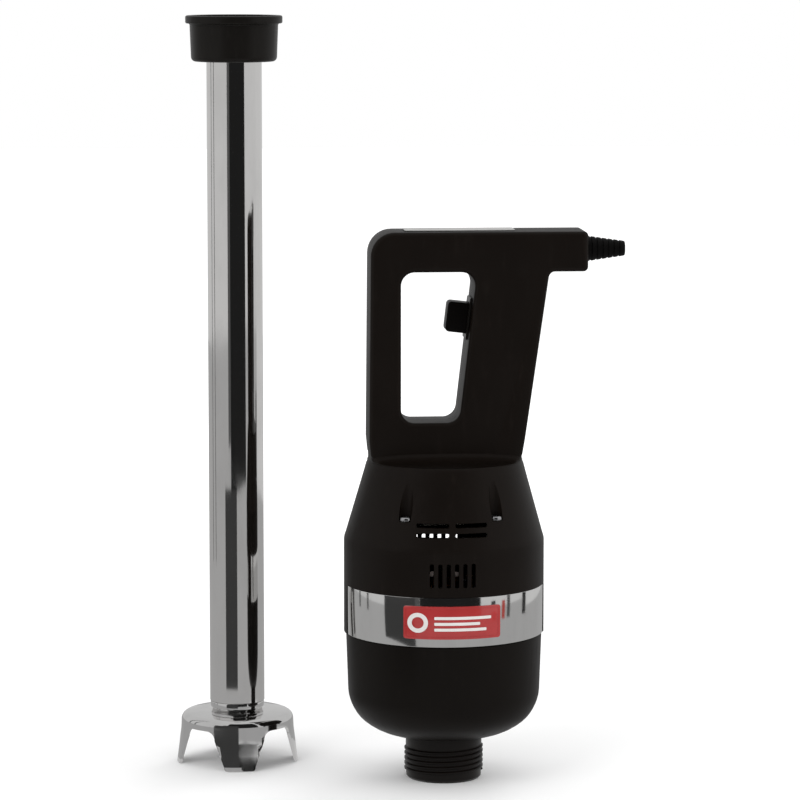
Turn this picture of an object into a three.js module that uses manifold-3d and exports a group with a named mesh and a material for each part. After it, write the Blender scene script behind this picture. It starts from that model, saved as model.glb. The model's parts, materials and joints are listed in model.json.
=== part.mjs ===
// Immersion blender in its two detached assemblies, each standing upright on one level surface:
// a motor unit with a D-handle, and a mixing rod with a collar nut, a tube and a four-legged guard.
// Millimetres, +Z up. The motor unit's front faces -Y. The rod stands to its left and behind it.

import * as THREE from 'three';
import { mergeVertices } from 'three/addons/utils/BufferGeometryUtils.js';
import Module from 'manifold-3d';

const wasm = await Module();
wasm.setup();

// ---- Driving dimensions -------------------------------------------------------------------

const gap = 0.3;                 // between pieces that touch
const runningGap = 0.25;         // between a turning piece and what surrounds it
const axisSpacing = { x: 128.5, y: 58 };   // from the motor unit's axis to the rod's

// Mixing rod, upwards from the ends of the guard's legs
const tubeRadius = 17.5;
const tubeWall = 1.5;
const tubeLength = 425.5;          // from the guard's hub to the tube's top
const guardRadius = 39;          // at the foot, where the legs have flared out
const guardShoulderRadius = 36;
const guardWall = 2.2;
const guardShoulder = 33;        // height of the guard's top face
const guardSkirt = 24;           // height of the arches between the legs
const guardHubTop = 39.5;
const guardHubRadius = tubeRadius - 1.1;
const legWidth = { foot: 21, top: 34 };
const shaftRadius = 4;
const bladeReach = 27;
const bladeHeight = 13;
const bladeThickness = 2.4;

// Collar nut and what it clamps
const flangeRadius = tubeRadius + 5.9;
const threadCrest = flangeRadius + 1.5;
const nutHeight = 29;
const nutTopRadius = threadCrest + 3.1;
const nutFootRadius = threadCrest + 2.35;
const nutRimRadius = threadCrest + 5.85;
const nutRimHeight = 5;
const nutFloor = 4;
const nutRecess = 2.5;           // hides the snap ring under the nut
const nutLift = 3;               // how far the nut rises before it clamps the flange
const washerThickness = 1.2;
const flangeThickness = 3.7;
const gasketThickness = 1.3;
const snapRingThickness = 1.6;

// Threaded neck
const threadDepth = 1.2;
const threadPitch = 3.2;
const threadStart = 3.6;
const threadTurns = 5;
const threadClearance = 0.4;
const neckRadius = threadCrest - 0.9;
const neckBore = threadCrest - 8.7;
const housingFoot = 28.5;        // the neck stands this far out of the lower housing

// Casings
const drumRadius = 63;
const drumTop = 154.4;
const casingWall = 3;
const bandFoot = 94;
const bandHeight = 31.3;
const bandThickness = 1;
const bandRecess = 1.7;
const bandPillar = 22;           // width of the casing left between the two bands
const shoulderTop = 203;
const shoulderRadius = 48.9;
const shoulderOffset = 0.5;      // the shoulder's top leans this far towards +X
const lowerHousingTop = bandFoot - gap;
const lowerRadiusTop = drumRadius - 1.3;
const lowerRadiusFoot = drumRadius - 2.6;
const uprightVent = { count: 6, pitch: 5.15, width: 2.6, height: 15, rise: 5.9 };   // above the band
const levelVent = { x: 11.85, width: 20, height: 2.8, rises: [8.8, 14.8] };         // above the drum
const badge = { width: 60, height: 20.4, corner: 2, thickness: 0.9 };

// Handle, seen from the front
const handleTop = 347;
const handleDepth = 38;
const handleEdge = 3;            // fillet along its front and rear edges
const handleLeft = -48.4;
const handleLeftTop = -47.1;
const handleRightFoot = 47;
const handleRightTop = 64.4;
const blockEnd = 88.5;
const blockFoot = 322;
const openingFoot = 228;
const openingTop = 322;
const openingLeft = -28.3;
const openingRightFoot = 7.9;
const openingRightTop = 18.8;
const topPlate = { start: -25.5, end: 43.5, width: 18, corner: 2, thickness: 0.5 };
const boot = { drop: 12, root: 8.2, tip: 4.65, length: 24.8, spigot: 4.6, spigotLength: 6, bore: 3.4 };

// Trigger, in a frame on the sloping face of the right column: +X goes into the column
const triggerHeight = 292.1;
const triggerReach = 14.5;
const triggerTravel = 6;
const triggerSize = { y: 16, z: 19 };
const triggerStop = 3;
const bezelThickness = 1.2;
const bezelBorder = 3.2;
const slotClearance = 0.4;
const triggerSpringWire = { radius: 4, wire: 0.6, turns: 4 };
const switchBody = { length: 17, y: 12, foot: -16, top: 14, tabs: 3 };

// Screws
const housingScrew = {
  circle: drumRadius - 7.4, angle: 60, seat: drumTop + 16.6, end: bandFoot - 22,
  shank: 2, head: 3.6, headHeight: 2.6, boss: 5.4,
};
const shellScrew = { shank: 1.4, head: 3.2, headHeight: 2.2, seat: 12, end: -9, boss: 5 };
const neckScrew = { shank: 1.8, head: 3.4, headHeight: 2.4, circle: neckRadius + 7.5, depth: 2.6 };

// Motor
const motorShaftRadius = 5;
const bearing = { outer: 11, width: 7 };
const armature = { radius: 22.8, height: 44, slots: 12 };
const stator = { radius: 44, yoke: 8, height: 42, pole: 13, coil: 21, overhang: 6 };
const airGap = 0.7;
const commutator = { radius: 12, height: 14 };
const fan = { radius: 46, height: 10, blades: 9, hub: 11, disc: 1.8 };
const dog = { size: 8, length: 10.8, foot: 3.5, collar: 8, collarHeight: 10 };
const brush = { width: 6.4, height: 6, length: 11 };
const holder = { start: commutator.radius + 2, length: 20, half: 6.5, height: 10.4 };
const bracket = { half: 13, bar: 4, cup: 4 };
const capacitorSize = { radius: 7, length: 28, y: 20, rise: 18 };

// ---- Derived places -----------------------------------------------------------------------

const tubeFoot = guardHubTop + gap;
const tubeTop = tubeFoot + tubeLength;
const nutFoot = tubeTop - flangeThickness - gap - nutLift - washerThickness - gap - nutFloor - nutRecess;
const nutTop = nutFoot + nutHeight;
const nutFloorTop = nutFoot + nutRecess + nutFloor;
const neckSeat = tubeTop + gap + gasketThickness + gap;
const bandTop = bandFoot + bandHeight;
const drumBore = drumRadius - bandRecess - 2.4;
const columnSlope = Math.atan((openingRightTop - openingRightFoot) / (openingTop - openingFoot));
const neckFlange = { foot: housingFoot + 4.8, height: 4, radius: neckRadius + 14 };
const neckFlangeTop = neckFlange.foot + neckFlange.height;
const bearingSeat = neckFlangeTop - bearing.width - gap;
const fanFoot = neckFlangeTop + gap + neckScrew.headHeight + 3;
const statorFoot = fanFoot + fan.height + stator.overhang + 2;
const statorTop = statorFoot + stator.height;
const armatureFoot = statorFoot - 1;
const armatureTop = armatureFoot + armature.height;
const windingHeight = 11;
const commutatorFoot = armatureTop + windingHeight + 2 * gap;
const bracketFoot = commutatorFoot + commutator.height + 6;
const bracketHeight = bearing.width + bracket.bar;
const bootHeight = handleTop - boot.drop;
const shellScrewPlaces = [
  [handleLeftTop + 12, handleTop - 12], [blockEnd - 38, handleTop - 12],
  [handleLeft + 11, openingFoot - 14], [handleRightFoot - 14, openingFoot - 14],
];
const springSpace = triggerTravel + 3;
const rotorTop = bracketFoot + bearing.width + 3;

// ---- Tools for solids -----------------------------------------------------------------------

function solid(geometry) {
  const bare = geometry.index ? geometry.toNonIndexed() : geometry.clone();
  bare.deleteAttribute('normal');
  bare.deleteAttribute('uv');
  const merged = mergeVertices(bare, 1e-4);
  const index = merged.index.array;
  const position = merged.attributes.position.array;
  const faces = [];
  let volume = 0;
  for (let i = 0; i < index.length; i += 3) {
    const [a, b, c] = [index[i], index[i + 1], index[i + 2]];
    if (a === b || b === c || c === a) continue;
    const [p, q, r] = [a, b, c].map((v) => new THREE.Vector3().fromArray(position, 3 * v));
    volume += p.dot(q.cross(r));
    faces.push(a, b, c);
  }
  if (volume < 0) faces.reverse();
  return new wasm.Manifold(new wasm.Mesh({
    numProp: 3,
    vertProperties: new Float32Array(position),
    triVerts: new Uint32Array(faces),
  }));
}

// A closed profile of [radius, height] corners turned about Z
function turned(profile, segments = 32) {
  const points = [...profile, profile[0]].map(([r, z]) => new THREE.Vector2(r, z));
  const geometry = new THREE.LatheGeometry(points, segments);
  return solid(geometry.rotateX(Math.PI / 2));
}

function ring(outer, inner, foot, top, segments) {
  return turned([[inner, foot], [outer, foot], [outer, top], [inner, top]], segments);
}

function disc(radius, foot, top, segments = 24) {
  const geometry = new THREE.CylinderGeometry(radius, radius, top - foot, segments);
  return solid(geometry.rotateX(Math.PI / 2).translate(0, 0, (foot + top) / 2));
}

function block(low, high) {
  const size = high.map((v, i) => v - low[i]);
  const geometry = new THREE.BoxGeometry(...size);
  return solid(geometry.translate(...low.map((v, i) => v + size[i] / 2)));
}

// A cylinder along Y, for screws and bosses that cross the handle
function crossPin(radius, x, z, from, to, segments = 12) {
  const geometry = new THREE.CylinderGeometry(radius, radius, to - from, segments);
  return solid(geometry.translate(x, (from + to) / 2, z));
}

function sum(parts) {
  return parts.reduce((all, part) => all.add(part));
}

class Helix extends THREE.Curve {
  constructor(radius, pitch, turns, foot) {
    super();
    Object.assign(this, { radius, pitch, turns, foot });
  }

  getPoint(t, target = new THREE.Vector3()) {
    const angle = 2 * Math.PI * this.turns * t;
    const height = this.foot + this.pitch * this.turns * t;
    return target.set(this.radius * Math.cos(angle), this.radius * Math.sin(angle), height);
  }
}

function coil(helix, wire, sides, stepsPerTurn) {
  const section = new THREE.Shape(Array.from({ length: sides }, (_, i) => {
    const angle = (2 * Math.PI * i) / sides;
    return new THREE.Vector2(wire * Math.cos(angle), wire * Math.sin(angle));
  }));
  const steps = Math.round(helix.turns * stepsPerTurn);
  return solid(new THREE.ExtrudeGeometry(section, { steps, extrudePath: helix, bevelEnabled: false }));
}

// A polygon of [x, z, corner radius] with its corners rounded
function roundedOutline(corners, path = new THREE.Shape()) {
  const points = corners.map(([x, z]) => new THREE.Vector2(x, z));
  corners.forEach(([, , radius], i) => {
    const before = points[(i + points.length - 1) % points.length];
    const after = points[(i + 1) % points.length];
    const toBefore = before.clone().sub(points[i]).normalize();
    const toAfter = after.clone().sub(points[i]).normalize();
    const half = Math.acos(toBefore.dot(toAfter)) / 2;
    const start = points[i].clone().addScaledVector(toBefore, radius / Math.tan(half));
    const end = points[i].clone().addScaledVector(toAfter, radius / Math.tan(half));
    if (i === 0) path.moveTo(start.x, start.y);
    else path.lineTo(start.x, start.y);
    if (radius > 0) path.quadraticCurveTo(points[i].x, points[i].y, end.x, end.y);
  });
  path.closePath();
  return path;
}

// Moves every side of a counter-clockwise outline inwards by a distance
function inset(corners, distance) {
  const count = corners.length;
  const sides = corners.map(([x, z], i) => {
    const [nextX, nextZ] = corners[(i + 1) % count];
    const along = new THREE.Vector2(nextX - x, nextZ - z).normalize();
    const start = new THREE.Vector2(x - along.y * distance, z + along.x * distance);
    return { start, along };
  });
  return sides.map((side, i) => {
    const previous = sides[(i + count - 1) % count];
    const across = side.start.clone().sub(previous.start);
    const reach = across.cross(side.along) / previous.along.cross(side.along);
    const corner = previous.start.clone().addScaledVector(previous.along, reach);
    return [corner.x, corner.y, Math.max(corners[i][2] - distance, 1)];
  });
}

// Extrudes an outline in the XZ plane through a depth centred on Y = 0
function plate(outline, depth, edge = 0) {
  const geometry = new THREE.ExtrudeGeometry(outline, {
    depth: depth - 2 * edge,
    bevelEnabled: edge > 0,
    bevelThickness: edge,
    bevelSize: edge,
    bevelOffset: -edge,
    bevelSegments: 1,
    curveSegments: 4,
  });
  return solid(geometry.rotateX(Math.PI / 2).translate(0, depth / 2 - edge, 0));
}

// ---- Materials ------------------------------------------------------------------------------

function finish(color, roughness, metalness) {
  return new THREE.MeshStandardMaterial({ color, roughness, metalness });
}

const finishes = {
  casing: () => finish(0x1c1815, 0.45, 0),
  blackPlastic: () => finish(0x0c0a09, 0.4, 0),
  rubber: () => finish(0x0a0a0a, 0.8, 0),
  polishedSteel: () => finish(0xc8c8ca, 0.08, 1),
  steel: () => finish(0xa9abad, 0.3, 1),
  redLabel: () => finish(0xa02222, 0.25, 0),
  paleLabel: () => finish(0xb8b8b6, 0.5, 0),
  bronze: () => finish(0x9c7440, 0.4, 1),
  copper: () => finish(0xb06a3a, 0.35, 1),
  laminate: () => finish(0x6e7276, 0.5, 1),
  carbon: () => finish(0x2a2a2c, 0.7, 0),
  alloy: () => finish(0x9a9c9e, 0.5, 1),
  moulding: () => finish(0xd8d2c4, 0.5, 0),
};

function piece(name, shape, material) {
  const { numProp, vertProperties, triVerts } = shape.getMesh();
  const position = new Float32Array((vertProperties.length / numProp) * 3);
  for (let i = 0; i < position.length; i += 1) {
    position[i] = vertProperties[Math.floor(i / 3) * numProp + (i % 3)];
  }
  const geometry = new THREE.BufferGeometry();
  geometry.setAttribute('position', new THREE.BufferAttribute(position, 3));
  geometry.setIndex(new THREE.BufferAttribute(new Uint32Array(triVerts), 1));
  geometry.computeVertexNormals();
  const mesh = new THREE.Mesh(geometry, material());
  mesh.name = name;
  return mesh;
}

// ---- Mixing rod -----------------------------------------------------------------------------

function shaftTube() {
  return ring(tubeRadius, tubeRadius - tubeWall, tubeFoot, tubeTop, 32)
    .subtract(ring(tubeRadius + 1, tubeRadius - 0.6, ...snapRingSpan(gap / 2), 32));
}

function snapRingSpan(margin) {
  const foot = nutFoot + (nutRecess - snapRingThickness) / 2;
  return [foot - margin, foot + snapRingThickness + margin];
}

// An open C of wire that sits in the tube's groove and carries the loose nut
function snapRing() {
  const [foot, top] = snapRingSpan(0);
  const mouth = 4;
  return ring(tubeRadius + 2.2, tubeRadius - 0.3, foot, top, 28)
    .subtract(block([0, -mouth, foot - 1], [tubeRadius * 2, mouth, top + 1]));
}

function tubeFlange() {
  return ring(flangeRadius, tubeRadius + gap / 2, tubeTop - flangeThickness, tubeTop, 28);
}

function flangeGasket() {
  return ring(flangeRadius - 1, tubeRadius - 1, tubeTop + gap, tubeTop + gap + gasketThickness, 28);
}

// A turned bell with a hub, cut by an arch between each pair of legs
function bellGuard() {
  const inner = guardShoulderRadius - guardWall;
  const innerFoot = guardRadius - guardWall;
  const under = guardShoulder - guardWall;
  const spigot = tubeRadius - tubeWall - gap / 2;
  const bushSeat = spigot - 2.4;
  const bell = turned([
    [bushSeat, guardHubTop + 14], [bushSeat, under - 2], [bushSeat + 5, under - 2],
    [bushSeat + 7, under], [inner - 4, under - 0.4], [inner - 1.2, under - 1.8], [inner, under - 4.5],
    [innerFoot, 0], [guardRadius, 0], [guardShoulderRadius, guardShoulder - 6.5],
    [guardShoulderRadius - 1.4, guardShoulder - 2.6], [guardShoulderRadius - 5, guardShoulder - 0.5],
    [guardHubRadius + 3, guardShoulder + 0.4], [guardHubRadius - 1, guardShoulder + 1.8],
    [guardHubRadius, guardHubTop], [spigot, guardHubTop], [spigot, guardHubTop + 14],
  ], 36);
  const archHalf = (radius, leg) => radius * Math.sin(Math.PI / 4 - leg / (2 * radius));
  const footHalf = archHalf(guardRadius, legWidth.foot);
  const topHalf = archHalf(guardShoulderRadius, legWidth.top);
  const below = 5;
  const spread = ((footHalf - topHalf) * below) / guardSkirt;
  const arch = roundedOutline([
    [-footHalf - spread, -below, 0], [footHalf + spread, -below, 0],
    [topHalf, guardSkirt, 6], [-topHalf, guardSkirt, 6],
  ]);
  const passage = plate(arch, guardRadius * 3);
  return bell.subtract(passage.rotate([0, 0, 45])).subtract(passage.rotate([0, 0, -45]));
}

function lowerBush() {
  const outer = tubeRadius - tubeWall - gap / 2 - 2.4 - gap / 2;
  return ring(outer, shaftRadius + 0.15, guardHubTop - 4, guardHubTop + 13, 20);
}

function shaftSeal() {
  const outer = tubeRadius - tubeWall - gap / 2 - 2.4 - gap / 2;
  return ring(outer, shaftRadius + runningGap, guardShoulder - guardWall - 1, guardHubTop - 4 - gap, 20);
}

function guideBush(foot, height) {
  return ring(tubeRadius - tubeWall - gap / 2, shaftRadius + 0.15, foot, foot + height, 20);
}

function slipWasher() {
  const foot = nutFloorTop + gap;
  return ring(flangeRadius, tubeRadius + gap, foot, foot + washerThickness, 28);
}

// The nut: a floor that lifts against the flange, a threaded mouth, a rounded rim
function collarNut() {
  const bore = threadCrest + threadClearance + threadDepth - 0.2;
  const rimFoot = nutTop - nutRimHeight;
  const shell = turned([
    [tubeRadius + gap, nutFoot + nutRecess], [tubeRadius + 4, nutFoot + nutRecess],
    [tubeRadius + 4, nutFoot], [nutFootRadius - 3, nutFoot], [nutFootRadius - 0.9, nutFoot + 0.9],
    [nutFootRadius, nutFoot + 3], [nutTopRadius, rimFoot - 1], [nutTopRadius + 0.8, rimFoot],
    [nutRimRadius - 0.7, rimFoot], [nutRimRadius, rimFoot + 1], [nutRimRadius, nutTop - 1],
    [nutRimRadius - 1, nutTop], [bore + 1.2, nutTop], [bore, nutTop - 1.2],
    [bore, nutFloorTop], [tubeRadius + gap, nutFloorTop],
  ], 32);
  const crest = threadCrest + threadClearance;
  const wire = 0.9;
  const thread = coil(new Helix(crest + wire, threadPitch, 3, nutTop - 4 - 3 * threadPitch), wire, 4, 16);
  return shell.add(thread);
}

function driveShaft() {
  const couplingSeat = neckSeat + 1;
  return disc(shaftRadius, bladeHeight - 8, couplingSeat + 3, 16);
}

// The rod's half of the drive: a cup with a square socket that takes the motor's dog
function shaftCoupling() {
  const foot = neckSeat - 3;
  const top = neckSeat + dog.foot + 6.5;
  const socket = dog.size / 2 + 0.5;
  const floor = neckSeat + dog.foot - 0.6;
  return disc(dog.collar + 1.2, foot, top, 20)
    .subtract(block([-socket, -socket, floor + 1.2], [socket, socket, top + 1]))
    .subtract(disc(shaftRadius + gap / 2, foot - 1, neckSeat + 1 + gap + 3, 20))
    .subtract(disc(shaftRadius, neckSeat, floor + 2, 20));
}

// Two wings, one tipped up and one tipped down, on a hub
function blade() {
  const hub = disc(7.5, bladeHeight - 3, bladeHeight + 3, 24);
  const wing = (side) => {
    const outline = roundedOutline([[4, -5.5, 0], [bladeReach, -4, 3], [bladeReach, 4, 3], [4, 5.5, 0]]);
    const flat = plate(outline, bladeThickness).rotate([90, 0, 0]);
    return flat.rotate([14 * side, 0, 0]).rotate([0, 0, side * 90])
      .translate([0, 0, bladeHeight]);
  };
  return sum([hub, wing(1), wing(-1)])
    .subtract(disc(shaftRadius + gap / 2, bladeHeight - 9, bladeHeight + 9, 20));
}

function bladeNut() {
  const top = bladeHeight - 3 - gap;
  return disc(6.6, top - 4.2, top, 6).subtract(disc(shaftRadius + gap / 2, top - 9, top + 1, 20));
}

function mixingRod() {
  const rod = new THREE.Group();
  rod.add(
    piece('shaft_tube', shaftTube(), finishes.polishedSteel),
    piece('bell_guard', bellGuard(), finishes.polishedSteel),
    piece('snap_ring', snapRing(), finishes.steel),
    piece('tube_flange', tubeFlange(), finishes.steel),
    piece('flange_gasket', flangeGasket(), finishes.rubber),
    piece('lower_bush', lowerBush(), finishes.bronze),
    piece('shaft_seal', shaftSeal(), finishes.rubber),
    piece('middle_bush', guideBush(tubeFoot + tubeLength / 2, 12), finishes.moulding),
    piece('upper_bush', guideBush(tubeTop - 14, 12), finishes.bronze),
    piece('slip_washer', slipWasher(), finishes.steel),
    piece('collar_nut', collarNut(), finishes.blackPlastic),
    piece('drive_shaft', driveShaft(), finishes.steel),
    piece('shaft_coupling', shaftCoupling(), finishes.moulding),
    piece('blade', blade(), finishes.polishedSteel),
    piece('blade_nut', bladeNut(), finishes.steel),
  );
  return rod;
}

// ---- Motor unit: casings ----------------------------------------------------------------------

function drumAndShoulder() {
  const profile = [
    [0, bandFoot], [drumRadius, bandFoot], [drumRadius, drumTop - 1], [drumRadius - 0.5, drumTop + 1],
    [shoulderRadius, shoulderTop], [shoulderRadius - 5, shoulderTop + 3.5], [0, shoulderTop + 5],
  ];
  return leaned(profile);
}

function drumCavity() {
  const slopeWall = casingWall + 0.6;
  return leaned([
    [0, bandFoot - 1], [drumBore, bandFoot - 1], [drumBore, drumTop - 1],
    [shoulderRadius - slopeWall, shoulderTop - casingWall], [0, shoulderTop - casingWall],
  ]);
}

// Turns a profile that starts and ends on the axis, and shifts its shoulder sideways as it rises
function leaned(profile) {
  const points = profile.map(([r, z]) => new THREE.Vector2(r, z));
  const geometry = new THREE.LatheGeometry(points, 36).rotateX(Math.PI / 2);
  const position = geometry.attributes.position;
  for (let i = 0; i < position.count; i += 1) {
    const rise = Math.max(position.getZ(i) - drumTop, 0) / (shoulderTop - drumTop);
    position.setX(i, position.getX(i) + shoulderOffset * rise);
  }
  return solid(geometry);
}

function handleCorners() {
  const buried = shoulderTop - 8;
  return [
    [handleLeft, buried, 0], [handleRightFoot, buried, 0],
    [handleRightTop, blockFoot, 3], [blockEnd, blockFoot, 4.5],
    [blockEnd, handleTop, 5], [handleLeftTop, handleTop, 17],
  ];
}

function openingCorners() {
  return [
    [openingLeft, openingFoot, 9], [openingRightFoot, openingFoot, 9],
    [openingRightTop, openingTop, 9], [openingLeft, openingTop, 9],
  ];
}

function handleSolid() {
  const outline = roundedOutline(handleCorners());
  outline.holes.push(roundedOutline(openingCorners(), new THREE.Path()));
  return plate(outline, handleDepth, handleEdge);
}

function handleCavity() {
  const outline = roundedOutline(inset(handleCorners(), casingWall));
  outline.holes.push(roundedOutline(inset(openingCorners(), -casingWall), new THREE.Path()));
  return plate(outline, handleDepth - 2 * casingWall);
}

function vents() {
  const through = drumRadius * 2;
  const slot = (x, z, width, height) => block(
    [x - width / 2, -through, z - height / 2],
    [x + width / 2, through, z + height / 2],
  );
  const uprights = Array.from({ length: uprightVent.count }, (_, i) => slot(
    (i - (uprightVent.count - 1) / 2) * uprightVent.pitch,
    bandTop + uprightVent.rise + uprightVent.height / 2,
    uprightVent.width,
    uprightVent.height,
  ));
  const levels = levelVent.rises.flatMap((rise) => [-1, 1].map((side) => slot(
    side * levelVent.x,
    drumTop + rise,
    levelVent.width,
    levelVent.height,
  )));
  const middle = drumBore - 8;
  const inside = block([-through, -middle, bandTop], [through, middle, shoulderTop]);
  return sum([...uprights, ...levels]).subtract(inside);
}

function eachHousingScrew(make) {
  const angle = THREE.MathUtils.degToRad(housingScrew.angle);
  const [x, y] = [housingScrew.circle * Math.cos(angle), housingScrew.circle * Math.sin(angle)];
  return [[-x, -y], [x, -y], [-x, y], [x, y]].map((place, i) => make(...place, i + 1));
}

// Posts for the screws. The upright ones go on up as the walls of the screws' pockets.
function shellBosses() {
  const depth = handleDepth / 2 - 1;
  const cross = shellScrewPlaces.map(([x, z]) => crossPin(shellScrew.boss, x, z, -depth, depth));
  const upright = eachHousingScrew((x, y) => disc(housingScrew.boss, bandFoot, shoulderTop, 16)
    .translate([x, y, 0]));
  return sum([...cross, ...upright]);
}

function shellHoles() {
  const cross = shellScrewPlaces.flatMap(([x, z]) => [
    crossPin(shellScrew.shank + gap, x, z, shellScrew.end - gap, handleDepth),
    crossPin(shellScrew.head + gap, x, z, shellScrew.seat, handleDepth),
  ]);
  const upright = eachHousingScrew((x, y) => sum([
    disc(housingScrew.shank + gap, bandFoot - 5, housingScrew.seat + 1, 12),
    disc(housingScrew.head + 0.5, housingScrew.seat, shoulderTop + 20, 20),
  ]).translate([x, y, 0]));
  return sum([...cross, ...upright]);
}

function bandSpace(inner, outer, foot, top) {
  const pillars = block(
    [-drumRadius * 2, -bandPillar / 2, foot - 1],
    [drumRadius * 2, bandPillar / 2, top + 1],
  );
  return ring(outer, inner, foot, top, 36).subtract(pillars);
}

function triggerFrame(shape) {
  const degrees = THREE.MathUtils.radToDeg(columnSlope);
  return shape.rotate([0, degrees, 0]).translate([triggerFaceX(), 0, triggerHeight]);
}

function triggerFaceX() {
  return openingRightFoot + (triggerHeight - openingFoot) * Math.tan(columnSlope);
}

function triggerSlot() {
  const y = triggerSize.y / 2 + slotClearance;
  const z = triggerSize.z / 2 + slotClearance;
  return triggerFrame(block([-4, -y, -z], [casingWall + 3, y, z]));
}

function bootHole() {
  const radius = boot.spigot + gap;
  const geometry = new THREE.CylinderGeometry(radius, radius, 20, 20);
  return solid(geometry.rotateZ(Math.PI / 2).translate(blockEnd, 0, bootHeight));
}

function upperCasing() {
  const skin = drumAndShoulder().add(handleSolid());
  const hollow = drumCavity().add(handleCavity());
  return skin.subtract(hollow)
    .add(shellBosses().intersect(drumAndShoulder().add(handleSolid())))
    .subtract(shellHoles())
    .subtract(vents())
    .subtract(bandSpace(drumRadius - bandRecess, drumRadius + 2, bandFoot - 1, bandTop))
    .subtract(triggerSlot())
    .subtract(bootHole());
}

function halfOf(shape, side) {
  const reach = 500;
  const low = side < 0 ? -reach : gap / 2;
  const high = side < 0 ? -gap / 2 : reach;
  return shape.intersect(block([-reach, low, -reach], [reach, high, reach]));
}

function band(side) {
  const inner = drumRadius - bandRecess + gap;
  const strip = ring(inner + bandThickness, inner, bandFoot + 0.2, bandTop - 0.2, 36);
  const edge = bandPillar / 2 + gap;
  const end = 200;
  const low = side < 0 ? -end : edge;
  const high = side < 0 ? -edge : end;
  return strip.intersect(block([-end, low, 0], [end, high, end]));
}

function roundedBox(left, right, foot, top, corner) {
  return roundedOutline([
    [left, foot, corner], [right, foot, corner], [right, top, corner], [left, top, corner],
  ]);
}

// A thin plate bent to the band
function labelPlate() {
  const inner = drumRadius - bandRecess + bandThickness + 2 * gap;
  const middle = (bandFoot + bandTop) / 2;
  const [x, z] = [badge.width / 2, badge.height / 2];
  const prism = plate(roundedBox(-x, x, -z, z, badge.corner), drumRadius)
    .translate([0, -drumRadius, middle]);
  return ring(inner + badge.thickness, inner, middle - z - 5, middle + z + 5, 36).intersect(prism);
}

function ratingPlate() {
  const { start, end, width, corner, thickness } = topPlate;
  return plate(roundedBox(start, end, -width / 2, width / 2, corner), thickness)
    .rotate([90, 0, 0]).translate([0, 0, handleTop + gap + thickness / 2]);
}

function lowerHousing() {
  const belly = (corners) =>
    corners.map(([inwards, rise]) => [lowerRadiusFoot - inwards, housingFoot + rise]);
  const outer = belly([[20.4, 2.8], [12.2, 6.9], [7.4, 10.7], [4.2, 14.6], [1.5, 19.7], [0, 25.5]]);
  const inner = belly([[casingWall, 27.5], [5.9, 19], [9.9, 13], [14.4, 9]]);
  const floor = neckFlange.foot - gap;
  const collar = neckRadius + 0.4;
  const shell = turned([
    [collar, floor], [collar, housingFoot], [collar + 5.3, housingFoot], ...outer,
    [lowerRadiusTop, lowerHousingTop],
    [lowerRadiusTop - casingWall, lowerHousingTop], ...inner, [neckFlange.radius + 2, floor],
  ], 32);
  const lipOuter = drumBore - gap;
  const lip = ring(lipOuter, lipOuter - 2, lowerHousingTop - 4, lowerHousingTop + 3.5, 32);
  const eachPost = (radius, foot, top, sides) => sum(eachHousingScrew(
    (x, y) => disc(radius, foot, top, sides).translate([x, y, 0]),
  ));
  const lipNotches = eachPost(housingScrew.boss + 0.6, lowerHousingTop, bandTop, 16);
  const posts = eachPost(housingScrew.boss, housingScrew.end - 6, lowerHousingTop, 12);
  const pilots = eachPost(housingScrew.shank + gap, housingScrew.end - gap, bandTop, 12);
  const neckPilots = eachNeckScrew((place) => place(
    disc(neckScrew.shank + gap, floor - neckScrew.depth - gap, floor + 1, 12),
  ));
  return shell.add(lip.subtract(lipNotches)).add(posts).subtract(pilots).subtract(sum(neckPilots));
}

function eachNeckScrew(make) {
  return [0, 1, 2].map((i) => {
    const angle = 30 + 120 * i;
    return make((shape) => shape.translate([neckScrew.circle, 0, 0]).rotate([0, 0, angle]), i + 1);
  });
}

function threadedNeck() {
  const root = threadCrest - threadDepth;
  const threadEnd = threadStart + threadTurns * threadPitch;
  const bearingBore = bearing.outer + gap / 2;
  const shaftBore = motorShaftRadius + 4;
  const web = bearingSeat - 3.4;
  const barrel = turned([
    [neckBore, 0], [root - 1.2, 0], [root, 1.4], [root, threadEnd + 0.5],
    [neckRadius, threadEnd + 1.2], [neckRadius, neckFlange.foot],
    [neckFlange.radius, neckFlange.foot], [neckFlange.radius, neckFlangeTop],
    [bearingBore, neckFlangeTop], [bearingBore, bearingSeat - gap],
    [shaftBore, bearingSeat - gap], [shaftBore, web], [neckBore, web],
  ], 32);
  const wire = threadDepth * 0.8;
  const thread = coil(new Helix(threadCrest - wire, threadPitch, threadTurns, threadStart), wire, 4, 16);
  const holes = eachNeckScrew((place) => place(
    disc(neckScrew.shank + gap, neckFlange.foot - 3, neckFlangeTop + 3, 12),
  ));
  return barrel.add(thread).subtract(sum(holes));
}

function screw(shank, head, headHeight, length) {
  const socket = disc(head * 0.5, headHeight * 0.45, headHeight + 1, 6);
  return disc(shank, -length, 0.01, 8).add(disc(head, 0, headHeight, 12)).subtract(socket);
}

function housingScrews() {
  const length = housingScrew.seat - housingScrew.end;
  const shape = screw(housingScrew.shank, housingScrew.head, housingScrew.headHeight, length + gap);
  return eachHousingScrew((x, y, number) => piece(
    `housing_screw_${number}`, shape.translate([x, y, housingScrew.seat + gap]), finishes.steel,
  ));
}

function shellScrews() {
  const length = shellScrew.seat - shellScrew.end;
  const shape = screw(shellScrew.shank, shellScrew.head, shellScrew.headHeight, length).rotate([-90, 0, 0]);
  return shellScrewPlaces.map(([x, z], i) => piece(
    `shell_screw_${i + 1}`, shape.translate([x, shellScrew.seat + gap, z]), finishes.steel,
  ));
}

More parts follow.
